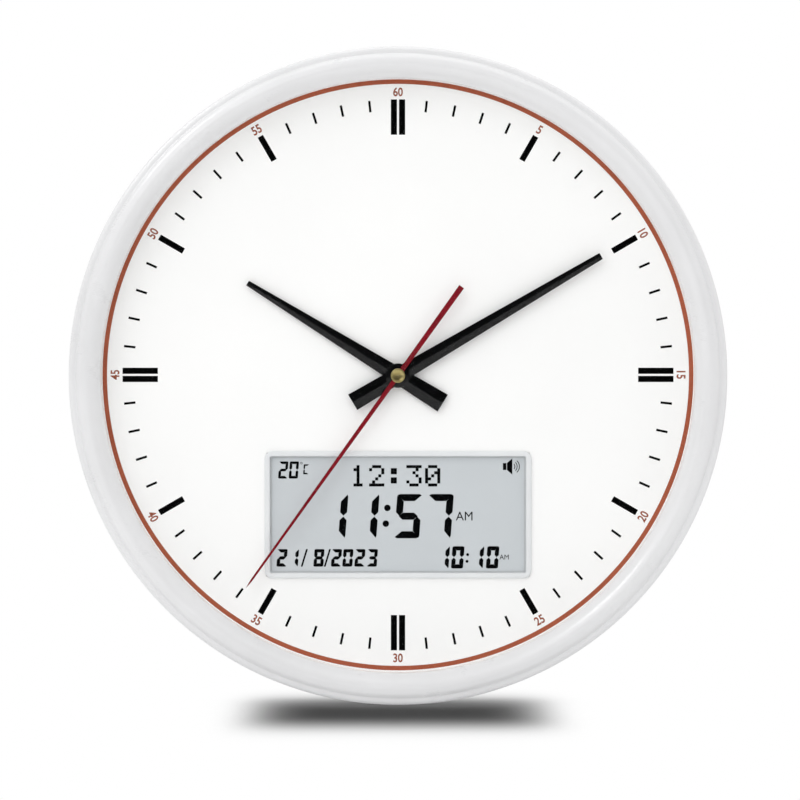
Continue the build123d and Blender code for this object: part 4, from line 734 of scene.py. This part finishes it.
@dataclass
class Case:
    """Bezel moulding, pane and sleeve."""

    outer: float = 160.0
    opening: float = 144.6
    ledge: float = 36.5
    side_foot: Pair = (159.5, 8.0)
    wall: float = 2.2
    pane: tuple[float, float, float] = (148.0, 34.5, 36.5)
    sleeve: tuple[float, float, float, float] = (145.15, 147.95, 24.0, 34.5)

    def bezel_profile(self) -> Array:
        """Section of the moulding: inner slope, round crown, groove, outer lip, side and hollow back."""
        r, z = self.opening, self.ledge
        foot, low = self.side_foot
        runs = [
            [(r, z + 0.25), (r + 0.05, z + 1.0), (r + 0.22, z + 1.35)],
            arc((r + 0.6, z + 2.1), (r + 2.6, z + 5.1), (r + 4.6, z + 6.85), 9),
            arc((r + 5.1, z + 7.12), (r + 6.7, z + 7.48), (r + 8.3, z + 7.12), 9),
            arc((r + 8.8, z + 6.95), (r + 10.3, z + 6.1), (r + 11.35, z + 4.75), 9),
            arc((r + 11.5, z + 4.5), (r + 11.85, z + 4.0), (r + 12.4, z + 3.82), 6),
            arc((r + 12.9, z + 3.78), (r + 13.9, z + 3.5), (r + 14.6, z + 3.0), 7),
            arc((r + 14.8, z + 2.8), (r + 15.25, z + 2.15), (self.outer, z + 1.4), 6),
            [(self.outer, z + 0.8), (foot + 0.02, low + 0.6), (foot - 0.15, low), (foot - self.wall, low),
             (foot - self.wall, z + 1.0), (r + 6.6, z + 5.3), (r + 4.6, z), (r + 0.25, z)],
        ]
        return np.concatenate([np.asarray(run, float) for run in runs])

    def build(self) -> None:
        """Makes the three pieces."""
        Piece("bezel_moulding", spun(self.bezel_profile(), 256, closed=True), "case", "white_gloss",
              WHITE_GLOSS, ("front_frame",), crease=60.0).build()
        radius, back, front = self.pane
        edge, chamfer = 0.3, 0.4
        pane = [(0, back), (radius * 0.5, back), (radius - edge, back), (radius, back + edge),
                (radius, front - edge), (radius - edge, front), (radius * 0.5, front), (0, front)]
        Piece("clear_front_pane", spun(pane), "case", "clear_pane", PANE, ("lens",)).build()
        inner, outer, low, high = self.sleeve
        sleeve = [(inner, low), (outer, low), (outer, high), (inner + chamfer, high), (inner, high - chamfer)]
        Piece("pane_sleeve", spun(sleeve, closed=True), "case", "white_matte", SLEEVE_WHITE,
              ("dial_spacer_ring",)).build()


@dataclass
class DialPrint:
    """Everything printed on the dial: rim ring, minute marks, hour bars and five-minute figures."""

    face: float = 24.0
    ink: float = 0.03
    rise: float = 0.35
    ring: Pair = (142.6, 144.8)
    minute: tuple[float, float, float] = (129.4, 135.0, 1.15)
    hour: tuple[float, float, float] = (121.4, 135.0, 2.95)
    quarter: tuple[float, float, float, float] = (117.7, 135.0, 3.0, 2.0)
    figure_radius: float = 138.7
    figure_height: float = 4.4
    figure_squeeze: float = 0.84
    figure_weight: float = 0.14

    def marks(self) -> Shell:
        """Bars on the minute circle at sixty places, longer at the hours and double at the quarters."""
        low, high = self.face, self.face + self.ink
        shells = []
        for minute in range(60):
            start, end, width = self.hour if minute % 5 == 0 else self.minute
            offsets = [0.0]
            if minute % 15 == 0:
                start, end, width, offset = self.quarter
                offsets = [-offset, offset]
            for offset in offsets:
                mark = bar(offset - width / 2, offset + width / 2, start, end, low, high)
                shells.append(mark.placed(turn=6.0 * minute))
        return Shell.joined(shells)

    def figures(self) -> Shell:
        """Figures 5 to 60. Those on the lower half read upright, with their tops towards the middle."""
        shells = []
        for minute in range(5, 65, 5):
            angle = 6.0 * minute
            below = 15 < minute < 45
            spot = math.radians(angle)
            figure = lettering(
                str(minute), self.figure_height, self.ink, self.figure_squeeze, self.figure_weight)
            shells.append(figure.placed(turn=angle + (180.0 if below else 0.0)).placed(
                self.figure_radius * math.sin(spot), self.figure_radius * math.cos(spot), self.face))
        return Shell.joined(shells)

    def build(self) -> None:
        """Makes the printed pieces."""
        inner, outer = self.ring
        low, high = self.face, self.face + self.ink
        ring = spun([(inner, low), (outer, low), (outer, high), (inner, high)], 256, closed=True)
        for name, shell, ink in (
                ("printed_rim_ring", ring, INK_ORANGE), ("printed_marks", self.marks(), INK_BLACK),
                ("printed_figures", self.figures(), INK_BROWN)):
            Piece(name, shell.placed(up=self.rise), "case", "dial_print", ink).build()


class Tip(Enum):
    """How a hand ends."""

    SQUARE = "square"
    POINTED = "pointed"


@dataclass
class Hand:
    """A pressed hand: a long taper with a central ridge, and a round boss over the axis."""

    node: str
    body: str
    angle: float
    length: float
    tip_width: float
    tail_width: float
    foot: float
    tail: float = 25.7
    edge: float = 0.35
    ridge: float = 0.9
    boss: float = 6.0
    boss_height: float = 1.5
    slot: str = "hand_black"
    finish: Finish = HAND_BLACK
    tip: Tip = Tip.SQUARE

    def blade(self) -> Shell:
        """Blade surface over u along the hand and v across it.

        The half width falls evenly from tail to tip. The height is the edge's plus what the ridge adds, times
        1 - sqrt(v*v + e) scaled to 1 at the middle, so that the ridge is slightly round.
        """
        along = np.concatenate((np.linspace(0.0, 0.97, 40), [0.985, 1.0]))
        across = np.array([-1.0, -0.97, -0.9, -0.7, -0.45, -0.22, -0.1, -0.04, 0.0,
                           0.04, 0.1, 0.22, 0.45, 0.7, 0.9, 0.97, 1.0])
        span = self.length + self.tail
        half = 0.5 * (self.tail_width + (self.tip_width - self.tail_width) * along)
        if self.tip is Tip.POINTED:
            half = half * np.clip((1.0 - along) * span / 4.0, 0.02, 1.0) ** 0.8
        soft = 0.0012
        lowest, highest = math.sqrt(soft), math.sqrt(1.0 + soft)
        rise = 1.0 - (np.sqrt(across ** 2 + soft) - lowest) / (highest - lowest)
        slim = (half / half.max())[:, None]
        top = self.foot + self.edge + (self.ridge - self.edge) * rise[None, :] * np.sqrt(slim)
        top -= 0.4 * self.edge * (np.abs(across) > 0.98)[None, :]
        right = half[:, None] * across
        up = np.repeat((along * span - self.tail)[:, None], len(across), axis=1)
        upper = np.stack((right, up, top), axis=-1)
        lower = np.stack((right, up, np.full_like(top, self.foot)), axis=-1)[:, ::-1]
        loops = np.concatenate((upper, lower), axis=1)
        columns = loops.shape[1]
        skin = Shell.grid(loops, close_columns=True)
        ends = np.array([np.arange(columns), (len(along) - 1) * columns + np.arange(columns)])
        return Shell(skin.points, skin.faces + [ends])

    def hub(self) -> Shell:
        """Round boss with a softened rim."""
        radius, low, high = self.boss, self.foot, self.foot + self.boss_height
        soft = min(0.45, self.boss_height * 0.4)
        rim = arc((radius, high - soft), (radius - 0.25 * soft, high - 0.25 * soft), (radius - soft, high), 5)
        crown = [(radius * 0.4, high), (0.0, high)]
        return spun(np.concatenate(([(0.0, low), (radius, low)], rim, crown)), 96)

    def build(self) -> None:
        """Makes the hand at its angle."""
        shell = Shell.joined([self.blade(), self.hub()]).placed(turn=self.angle)
        Piece(self.node + "_pressed", shell, self.body, self.slot, self.finish, (self.node,), 28.0).build()


@dataclass
class HandSet:
    """The three hands and the cap on their axis."""

    cap_radius: float = 3.5
    cap: Pair = (30.7, 32.2)

    def cap_profile(self) -> Array:
        """Section of the cap: straight skirt, rounded rim, shallow dish and a centre dimple."""
        radius, (low, high) = self.cap_radius, self.cap
        return np.concatenate((
            [(0.0, low), (radius - 0.15, low), (radius, low + 0.15), (radius, high - 0.5)],
            arc((radius, high - 0.45), (radius - 0.15, high - 0.12), (radius - 0.5, high), 6),
            [(radius - 0.75, high - 0.02)],
            arc((radius - 0.9, high - 0.16), (1.7, high - 0.52), (0.75, high - 0.62), 8),
            [(0.4, high - 0.66), (0.0, high - 0.72)]))

    def build(self) -> None:
        """Makes hour, minute and second hand and the cap."""
        hour = Hand("hour_hand", "hours", angle=301.6, length=86.4, tip_width=2.7, tail_width=9.7, foot=26.5)
        minute = Hand("minute_hand", "minutes", angle=59.5, length=115.2, tip_width=3.4, tail_width=8.8,
                      foot=28.3)
        second = Hand("second_hand", "seconds", angle=215.6, length=127.5, tip_width=1.0, tail_width=2.85,
                      foot=30.1, tail=53.4, edge=0.25, ridge=0.58, boss=3.0, boss_height=0.6, slot="hand_red",
                      finish=HAND_RED, tip=Tip.POINTED)
        for hand in (hour, minute, second):
            hand.build()
        Piece("brass_cap", spun(self.cap_profile(), 96), "seconds", "brass", BRASS, ("second_hand_cap",),
              crease=50.0).build()


SEGMENTS = {"0": "abcdef", "1": "bc", "2": "abged", "3": "abgcd", "4": "fgbc", "5": "afgcd", "6": "afgedc",
            "7": "abc", "8": "abcdefg", "9": "abcdfg", "C": "adef"}
DOT_ROWS = {
    "1": ("..#..", ".##..", "..#..", "..#..", "..#..", "..#..", ".###."),
    "2": (".###.", "#...#", "....#", "...#.", "..#..", ".#...", "#####"),
    "3": ("#####", "...#.", "..#..", "...#.", "....#", "#...#", ".###."),
    "0": (".###.", "#...#", "#..##", "#.#.#", "##..#", "#...#", ".###."),
    ":": (".....", ".##..", ".##..", ".....", ".##..", ".##..", "....."),
}


@dataclass(frozen=True)
class Figures:
    """A row of seven-segment figures.

    Right edges are where each figure's cell ends on its base line, in millimetres from the clock's axis.
    """

    text: str
    edges: tuple[float, ...]
    base: float
    width: float
    height: float
    stroke: float
    gap: float
    lean: float = 0.075

    def segment(self, name: str) -> Array:
        """Outline of one segment in a cell whose lower left corner is the origin."""
        w, h, t, g = self.width, self.height, self.stroke, self.gap
        m = h / 2.0
        cut = 0.35 * t
        outlines = {
            "a": [(g, h - cut / 2), (g + cut, h), (w - g - cut, h), (w - g, h - cut / 2),
                  (w - t - g * 0.3, h - t), (t + g * 0.3, h - t)],
            "g": [(g + t * 0.35, m), (t, m + t / 2), (w - t, m + t / 2), (w - g - t * 0.35, m),
                  (w - t, m - t / 2), (t, m - t / 2)],
            "b": [(w, h - g - cut), (w - cut * 0.3, h - g), (w - t, h - t - g), (w - t, m + g + t / 2),
                  (w - t / 2, m + g), (w, m + g + t / 2)],
        }
        if name in "agb":
            outline = outlines[name]
        elif name == "d":
            outline = [(x, h - y) for x, y in outlines["a"]]
        elif name == "c":
            outline = [(x, h - y) for x, y in outlines["b"]]
        elif name == "f":
            outline = [(w - x, y) for x, y in outlines["b"]]
        else:
            outline = [(w - x, h - y) for x, y in outlines["b"]]
        return np.array(outline)

    def shells(self, low: float, high: float) -> list[Shell]:
        """Thin prisms of all lit segments, leaned to the right by a share of their height."""
        made = []
        for figure, edge in zip(self.text, self.edges):
            for name in SEGMENTS[figure]:
                outline = self.segment(name) + (edge - self.width, 0.0)
                outline[:, 0] += outline[:, 1] * self.lean
                made.append(prism(outline + (0.0, self.base), low, high))
        return made


@dataclass
class Display:
    """Raised frame and the figures of the digital display, placed from the clock's axis in millimetres.

    Colons are (right, up, radius) and marks are (words, right, up, height).
    """

    glass: float = 22.8
    ink: float = 0.03
    corner: float = 4.0
    inner_corner: float = 0.8
    bar: float = 2.75
    gap_shade_width: float = 0.85
    rows: tuple[Figures, ...] = field(default_factory=lambda: (
        Figures("20", (-53.9, -48.7), -50.5, 4.5, 8.4, 1.3, 0.1),
        Figures("1157", (-25.45, -10.2, 10.8, 26.25), -79.8, 12.3, 21.7, 3.45, 0.22),
        Figures("2182023", (-54.3, -48.7, -36.2, -27.6, -22.0, -16.1, -10.0), -93.7, 4.9, 8.6, 1.65, 0.1),
        Figures("1010", (25.2, 32.3, 42.0, 49.4), -94.6, 5.9, 10.9, 2.05, 0.12),
        Figures("C", (-43.6,), -48.4, 2.5, 4.9, 0.72, 0.03),
    ))
    next_event: tuple[str, float, float] = ("12:30", -22.9, -43.9)
    dot_pitch: float = 1.5
    dot_advance: float = 9.15
    dot_share: float = 0.495
    colons: tuple[tuple[float, float, float], ...] = (
        (-4.76, -64.9, 1.6), (-5.54, -72.6, 1.6), (34.6, -87.8, 0.72), (34.3, -91.1, 0.72))
    degree: Pair = (-46.9, -42.9)
    halves: tuple[Mark, ...] = (("AM", 32.9, -68.9, 4.3), ("AM", 52.5, -89.0, 2.4))
    date_strokes: tuple[float, ...] = (-46.8, -35.5)
    sounder: Pair = (51.9, -44.6)
    shift: float = -0.45

    @property
    def layer(self) -> tuple[float, float]:
        """Where the figures start and end, outwards."""
        return self.glass, self.glass + self.ink

    def surround(self, section: list[Pair], width: float, height: float, middle: float) -> Shell:
        """A closed section of (outward, out) points carried round the window.

        At each section point the path is the window's rectangle grown outwards by that much, and its corner
        radius grows from the inner to the outer corner.

        Args:
            section: Pairs of the section, in order.
            width: Width of the window.
            height: Height of the window.
            middle: Height of its centre above the clock's axis.

        Returns:
            The closed band.
        """
        paths = []
        for outward, out in section:
            corner = self.inner_corner + (self.corner - self.inner_corner) * max(outward, 0.0) / self.bar
            path = rounded_path(width + 2 * outward, height + 2 * outward, corner)
            paths.append(np.column_stack((path + (0.0, middle), np.full(len(path), out))))
        return Shell.grid(np.stack(paths), close_rows=True, close_columns=True)

    def frame_section(self, low: float, high: float) -> list[Pair]:
        """Frame moulding: rounded inner edge, flat crown, rounded outer edge and a skirt into the dial."""
        side = self.bar
        return [(0.0, low), (0.0, high - 0.75), (0.06, high - 0.55), (0.32, high - 0.15), (0.55, high - 0.02),
                (0.8, high), (1.9, high - 0.02), (2.25, high - 0.12), (2.55, high - 0.38),
                (side - 0.04, high - 0.7), (side, high - 0.95), (side, high - 1.8),
                (1.6, high - 1.8), (1.6, low)]

    def dots(self) -> list[Shell]:
        """Dot-matrix figures, one small square for each lit dot."""
        text, left, top = self.next_event
        half = self.dot_pitch * self.dot_share
        lit = [(place, row, column) for place, figure in enumerate(text)
               for row, line in enumerate(DOT_ROWS[figure])
               for column, mark in enumerate(line) if mark == "#"]
        made = []
        for place, row, column in lit:
            x = left + place * self.dot_advance + (column + 0.5) * self.dot_pitch
            y = top - (row + 0.5) * self.dot_pitch
            made.append(bar(x - half, x + half, y - half, y + half, *self.layer))
        return made

    def rounds(self) -> list[Shell]:
        """Colons and the degree sign."""
        low, high = self.layer
        made = [spun([(0, low), (radius, low), (radius, high), (0, high)], 32).placed(x, y)
                for x, y, radius in self.colons]
        ring = [(0.32, low), (0.55, low), (0.55, high), (0.32, high)]
        return made + [spun(ring, 24, closed=True).placed(*self.degree)]

    def strokes(self) -> list[Shell]:
        """Date strokes and the sounder sign: a horn with three waves."""
        stroke = np.array([(-0.45, -93.7), (0.45, -93.7), (3.05, -85.1), (2.15, -85.1)])
        outlines = [stroke + (x, 0.0) for x in self.date_strokes]
        case = np.array([(0.0, -1.7), (1.7, -1.7), (1.7, 1.7), (0.0, 1.7)])
        horn = np.array([(2.0, -1.7), (4.6, -4.0), (4.6, 4.0), (2.0, 1.7)])
        outlines += [case + self.sounder, horn + self.sounder]
        bend = np.linspace(-0.85, 0.85, 13)
        wave = np.column_stack((np.cos(bend), np.sin(bend)))
        for radius in (1.6, 2.7, 3.8):
            band = np.concatenate((wave * (radius + 0.2), wave[::-1] * (radius - 0.2)))
            outlines.append(band + (4.3, 0.0) + self.sounder)
        return [prism(outline, *self.layer) for outline in outlines]

    def build(self) -> None:
        """Makes the frame, the grey strip inside its window, which stands for the dark gap there with the
        frame's shadow painted in, and the figures.
        """
        low, high = (np.array(corner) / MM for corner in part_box("lcd_frame"))
        window = (high[0] - low[0] - 2 * self.bar, high[2] - low[2] - 2 * self.bar, (low[2] + high[2]) / 2.0)
        moulding = self.surround(self.frame_section(self.glass, -low[1]), *window)
        Piece("display_frame_moulding", moulding, "case", "white_gloss", WHITE_FRAME, ("lcd_frame",),
              crease=40.0).build()
        # Strip over the window's edge whose grey is the dark gap plus a painted shadow of the frame
        inner, (foot, top) = -self.gap_shade_width, (self.glass, self.glass + 2 * self.ink)
        strip = self.surround([(inner, foot), (0.2, foot), (0.2, top), (inner, top)], *window)
        Piece("display_gap_shade", strip, "case", "display_grey", GAP_SHADE_GREY).build()
        shells = [shell for row in self.rows for shell in row.shells(*self.layer)]
        shells += self.dots() + self.rounds() + self.strokes()
        for words, x, y, tall in self.halves:
            shells.append(lettering(words, tall, self.ink).placed(x, y, self.glass))
        figures = Shell.joined(shells).placed(right=self.shift)
        Piece("display_figures", figures, "case", "display_grey", SEGMENT).build()


@dataclass
class ScrewHead:
    """Pan-head screw seen from behind, with a cross recess."""

    radius: float = 2.6
    height: float = 1.8
    shank: float = 1.3
    length: float = 11.0
    recess: float = 1.1
    recess_depth: float = 1.0
    blade: float = 0.32
    slope: float = 0.12

    def shell(self) -> Shell:
        """Screw over radius and angle, head towards the wall.

        The dome's height is that of a flattened ellipse. The cross recess takes away a depth that is full
        within half a blade's width of either diameter and falls smoothly to nothing outside.
        """
        radial = np.concatenate(([0.0], np.linspace(0.12, 0.62, 14), np.linspace(0.68, 1.0, 9)))
        angle = np.linspace(0.0, 2.0 * np.pi, 96, endpoint=False)
        r, a = np.meshgrid(radial * self.radius, angle, indexing="ij")
        dome = self.height * (1.0 - (r / self.radius) ** 6 * 0.55) ** 0.5
        x, y = r * np.cos(a), r * np.sin(a)
        near = np.minimum(np.abs(x), np.abs(y))
        beside, within = (self.blade - near) / self.slope + 0.5, (self.recess - r) / self.slope
        inside = np.clip(beside, 0.0, 1.0) * np.clip(within, 0.0, 1.0)
        top = np.stack((x, y, -(dome - self.recess_depth * inside * (1.0 - 0.35 * r / self.recess))), axis=-1)
        skirt = [(self.radius, 0.0), (self.shank, 0.0), (self.shank, self.length), (0.0, self.length + 0.4)]
        rows = [np.stack((radius * np.cos(angle), radius * np.sin(angle), np.full(angle.shape, out)), axis=-1)
                for radius, out in skirt]
        return Shell.grid(np.concatenate((top, np.stack(rows))), close_columns=True)


@dataclass
class Cell:
    """AA cell: steel can, rolled-over jacket film, nub and flat end."""

    node: str
    along: float = 50.5
    radius: float = 7.1
    nub: Pair = (2.7, 1.0)

    def build(self, positive_right: bool) -> None:
        """Makes the cell as a turned profile laid along X, where its CAD node lies."""
        low, high = (np.array(corner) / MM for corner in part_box(self.node))
        nub_radius, nub_height = self.nub
        half, radius = self.along / 2.0, self.radius
        profile = np.concatenate((
            [(0.0, -half + 0.25), (radius - 1.6, -half + 0.25), (radius - 1.4, -half), (radius - 0.8, -half)],
            arc((radius - 0.5, -half), (radius - 0.1, -half + 0.15), (radius, -half + 0.6), 5),
            [(radius, half - nub_height - 0.6)],
            arc((radius, half - nub_height - 0.5), (radius - 0.12, half - nub_height - 0.1),
                (radius - 0.6, half - nub_height), 5),
            [(radius - 1.6, half - nub_height), (radius - 1.9, half - nub_height - 0.3),
             (nub_radius + 0.3, half - nub_height - 0.3), (nub_radius, half - nub_height),
             (nub_radius - 0.05, half - 0.2), (nub_radius - 0.3, half), (0.0, half)]))
        turned = spun(profile, 64)
        side = 1.0 if positive_right else -1.0
        x, y, z = turned.points.T
        laid = Shell(np.column_stack((z * side, y, -x * side)), turned.faces)
        middle = (low + high) / 2.0
        Piece(self.node + "_jacketed", laid.placed(middle[0], middle[2], -middle[1]), "case", "cell_jacket",
              JACKET, (self.node,), crease=40.0).build()


@dataclass
class BackMarks:
    """Plain lettering and signs on the back, read from behind: (words, right, up, height) each.

    The arrow is (right, up, half width). Panel, movement and door are how far out each face lies.
    """

    panel: float = 3.0
    movement: float = 4.6
    door: float = 1.25
    ink: float = 0.03
    keys: tuple[Mark, ...] = (
        ("MODE", 22.0, -84.3, 2.5), ("SET", 6.0, -84.3, 2.5), ("+", -10.0, -84.3, 2.4),
        ("-", -26.0, -84.3, 0.5), ("RESET", -42.0, -84.3, 2.5), ("OFF", 44.4, -84.3, 2.5),
        ("ON", 52.2, -84.3, 2.5))
    poles: tuple[Mark, ...] = (("+", 20.0, -8.4, 3.0), ("-", -20.0, -8.4, 0.7))
    arrow: tuple[float, float, float] = (-86.0, 39.0, 3.0)

    def words(self, marks: tuple[Mark, ...], face: float) -> Shell:
        """Marks on a face that looks at the wall, mirrored so that they read from behind."""
        shells = []
        for text, right, up, height in marks:
            flat = lettering(text, height, self.ink)
            shells.append(Shell(flat.points * (-1.0, 1.0, -1.0) + (right, up, face), flat.faces))
        return Shell.joined(shells)

    def build(self) -> None:
        """Makes the marks and the arrow on the battery door."""
        Piece("key_marks", self.words(self.keys, self.panel), "case", "white_matte", INK_GREY).build()
        Piece("pole_marks", self.words(self.poles, self.movement), "case", "movement_black", INK_PALE).build()
        x, y, size = self.arrow
        arrow = np.array([(x - size, y), (x + size, y), (x, y - size)])
        Piece("door_arrow", prism(arrow, self.door - self.ink, self.door), "battery_lid", "white_matte",
              INK_GREY).build()


@dataclass
class Back:
    """Rear cover, screws, battery door, keys and movement, as seen and used from behind."""

    screw_circle: float = 153.1
    screws: int = 6
    screw_start: float = 30.0
    screw_turn: float = 17.0
    seat: float = 5.8

    def build(self) -> None:
        """Softens the moulded parts and makes the screws and cells."""
        softened("rear_cover", "case", WHITE_MATTE, 0.3)
        softened("battery_door", "battery_lid", WHITE_MATTE, 0.25)
        softened("movement_case", "case", MOVEMENT_BLACK, 0.25)
        softened("movement_cover", "case", MOVEMENT_BLACK, 0.25)
        softened("setting_knob", "setting", GEAR_BLACK, 0.12, flat=False)
        softened("switch_knob", "switch_lever", KEY_GREY, 0.2)
        for number in range(1, 6):
            softened(f"push_key_{number}", f"key_{number}", KEY_GREY, 0.45)
        screw = ScrewHead().shell()
        heads = []
        for index in range(self.screws):
            angle = math.radians(self.screw_start + 360.0 / self.screws * index)
            heads.append(screw.placed(turn=self.screw_turn * index).placed(
                self.screw_circle * math.cos(angle), self.screw_circle * math.sin(angle), self.seat))
        Piece("case_screws_turned", Shell.joined(heads), "case", "screw_zinc", ZINC, ("case_screws",),
              crease=40.0).build()
        Cell("movement_cell").build(True)
        Cell("battery_cell_upper").build(True)
        Cell("battery_cell_lower").build(False)


def dress_nodes() -> None:
    """Gives each CAD node that stays in sight its own procedural finish."""
    for finish, names in NODE_FINISHES.items():
        for name in names:
            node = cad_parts[name]
            if not node.material_slots:
                node.data.materials.append(None)
            for slot in node.material_slots:
                slot.material = finish.material()
            log.info("%s dressed in %s", name, finish.name)


# ---------------------------------------------------------------- stage

@dataclass
class Stage:
    """Camera on the clock's axis, soft lamps, pale floor and white surroundings.

    The two shades are half widths across and away in metres, the power of the fall-off away, and the share.
    """

    distance: float = 1.6
    rim_out: float = 0.0395
    rim_radius: float = 0.160
    rim_pixels: float = 329.7
    picture: float = 800.0
    middle: Pair = (398.0, 375.6)
    floor_height: float = -0.160
    floor_half: float = 3.0
    ambient: float = 0.8
    gloss_extra: float = 0.18
    flag_depth: float = 0.95
    flag_spans: tuple[tuple[str, Pair], ...] = (("Z", (-0.10, -0.02)), ("Y", (-0.3, -0.6)))
    shade_ahead: float = 0.0756
    painted_shade: tuple[float, float, float, float] = (0.0712, 0.0712, 3.0, 0.94)
    real_shade: tuple[float, float, float, float] = (0.078, 0.085, 4.0, 0.45)

    def camera(self) -> None:
        """Camera that looks along +Y from the axis and frames the clock a little above the middle."""
        data = bpy.data.cameras.new("view")
        data.sensor_width = 36.0
        data.lens = 36.0 / self.picture * self.rim_pixels * (self.distance - self.rim_out) / self.rim_radius
        data.shift_x = (self.picture / 2.0 - self.middle[0]) / self.picture
        data.shift_y = -(self.picture / 2.0 - self.middle[1]) / self.picture
        view = linked("view", data)
        view.location = (0.0, -self.distance, 0.0)
        view.rotation_euler = (math.pi / 2.0, 0.0, 0.0)
        bpy.context.scene.camera = view

    def lamp(self, name: str, place: tuple[float, float, float], size: Pair, power: float,
             lights: bool = True, glints: bool = True) -> None:
        """Soft rectangular lamp that faces the clock.

        Args:
            name: Its name.
            place: Where it hangs, in metres.
            size: Width and height.
            power: Power in watts.
            lights: Whether it lights matte surfaces.
            glints: Whether gloss shows it.
        """
        data = bpy.data.lights.new(name, "AREA")
        data.shape, data.size, data.size_y, data.energy = "RECTANGLE", size[0], size[1], power
        lamp = linked(name, data)
        lamp.location = place
        lamp.rotation_euler = (-Vector(place)).to_track_quat("-Z", "Y").to_euler()
        lamp.visible_diffuse, lamp.visible_glossy = lights, glints

    def surroundings(self) -> None:
        """White where the camera, gloss or glass sees past the clock, and a softer white as light.

        Gloss sees a dark flag in front above the camera's axis, which draws the ridges of the hands.
        """
        world = bpy.data.worlds.new("surroundings")
        bpy.context.scene.world = world
        recipe = Recipe.emptied(world)
        path = recipe.add("LightPath").outputs
        seen = recipe.math("MAXIMUM", path["Is Camera Ray"], path["Is Transmission Ray"])
        axes = recipe.axes(recipe.add("TexCoord").outputs["Generated"])
        flag = recipe.product(*(recipe.ranged(axes[name], *span) for name, span in self.flag_spans))
        flagged = recipe.math("SUBTRACT", self.gloss_extra, recipe.product(flag, self.flag_depth))
        shown = recipe.product(path["Is Glossy Ray"], flagged)
        plain = recipe.total(recipe.product(seen, 1.0 - self.ambient), self.ambient)
        shader = recipe.add("Background", {"Color": (1.0, 1.0, 1.0), "Strength": recipe.total(plain, shown)})
        recipe.add("OutputWorld", {"Surface": shader.outputs[0]})

    def floor(self) -> None:
        """Pale floor: white, with the clock's own shadow and a painted shade under it.

        Both are a share of exp(-(x / wide)^8 - (y / deep)^power) about a point just before the clock's foot.
        """
        half = self.floor_half
        corners = ((-half, -half), (half, -half), (half, half), (-half, half))
        mesh = bpy.data.meshes.new("floor")
        mesh.from_pydata([(x, y, self.floor_height) for x, y in corners], [], [(0, 1, 2, 3)])
        linked("floor", mesh)
        material = bpy.data.materials.new("pale_floor")
        mesh.materials.append(material)
        recipe = Recipe.emptied(material)
        axes = recipe.axes()
        across = recipe.math("ABSOLUTE", axes["X"])
        away = recipe.math("ABSOLUTE", recipe.total(axes["Y"], self.shade_ahead))

        def shade(wide: float, deep: float, power: float, share: float) -> Socket:
            """A share under the clock and 0 further off, over a rounded oblong of two half widths."""
            terms = recipe.total(recipe.math("POWER", recipe.math("DIVIDE", across, wide), 8.0),
                                 recipe.math("POWER", recipe.math("DIVIDE", away, deep), power))
            return recipe.product(recipe.math("EXPONENT", recipe.product(terms, -1.0)), share)

        seen = recipe.add("LightPath").outputs["Is Camera Ray"]
        under = recipe.product(shade(*self.painted_shade), seen)
        tone = recipe.blend(under, (1.0, 1.0, 1.0), (0.01, 0.01, 0.01))
        matte = recipe.add("BsdfDiffuse", {"Color": recipe.blend(0.1, tone, (0.0, 0.0, 0.0))})
        bright = recipe.add("Emission", {"Color": tone, "Strength": 1.0})
        whiteness = recipe.math("SUBTRACT", 1.0, shade(*self.real_shade))
        mixed = recipe.add("MixShader", {0: recipe.product(whiteness, seen), 1: matte.outputs[0],
                                         2: bright.outputs[0]})
        recipe.add("OutputMaterial", {"Surface": mixed.outputs[0]})

    def build(self) -> None:
        """Sets the stage."""
        bpy.context.scene.view_settings.view_transform = "Standard"
        self.camera()
        self.lamp("key", (-0.95, -2.15, 1.4), (2.1, 2.1), 17.0, glints=False)
        self.lamp("glint", (-1.3, -1.7, 1.35), (1.4, 1.4), 7.0, lights=False)
        self.lamp("rim_glint", (-1.75, -0.65, 1.8), (0.9, 0.9), 12.0, lights=False)
        self.lamp("overhead", (0.1, 0.1, 1.7), (1.6, 0.7), 8.0, glints=False)
        self.surroundings()
        self.floor()


def main() -> None:
    """Builds the clock's visible pieces in order and sets the stage."""
    logging.basicConfig(level=logging.INFO, format="%(name)s: %(message)s")
    for assembly in (Case(), DialPrint(), HandSet(), Display(), Back(), BackMarks()):
        assembly.build()
        log.info("%s done", type(assembly).__name__)
    dress_nodes()
    Stage().build()


if __name__ == "__main__":
    main()
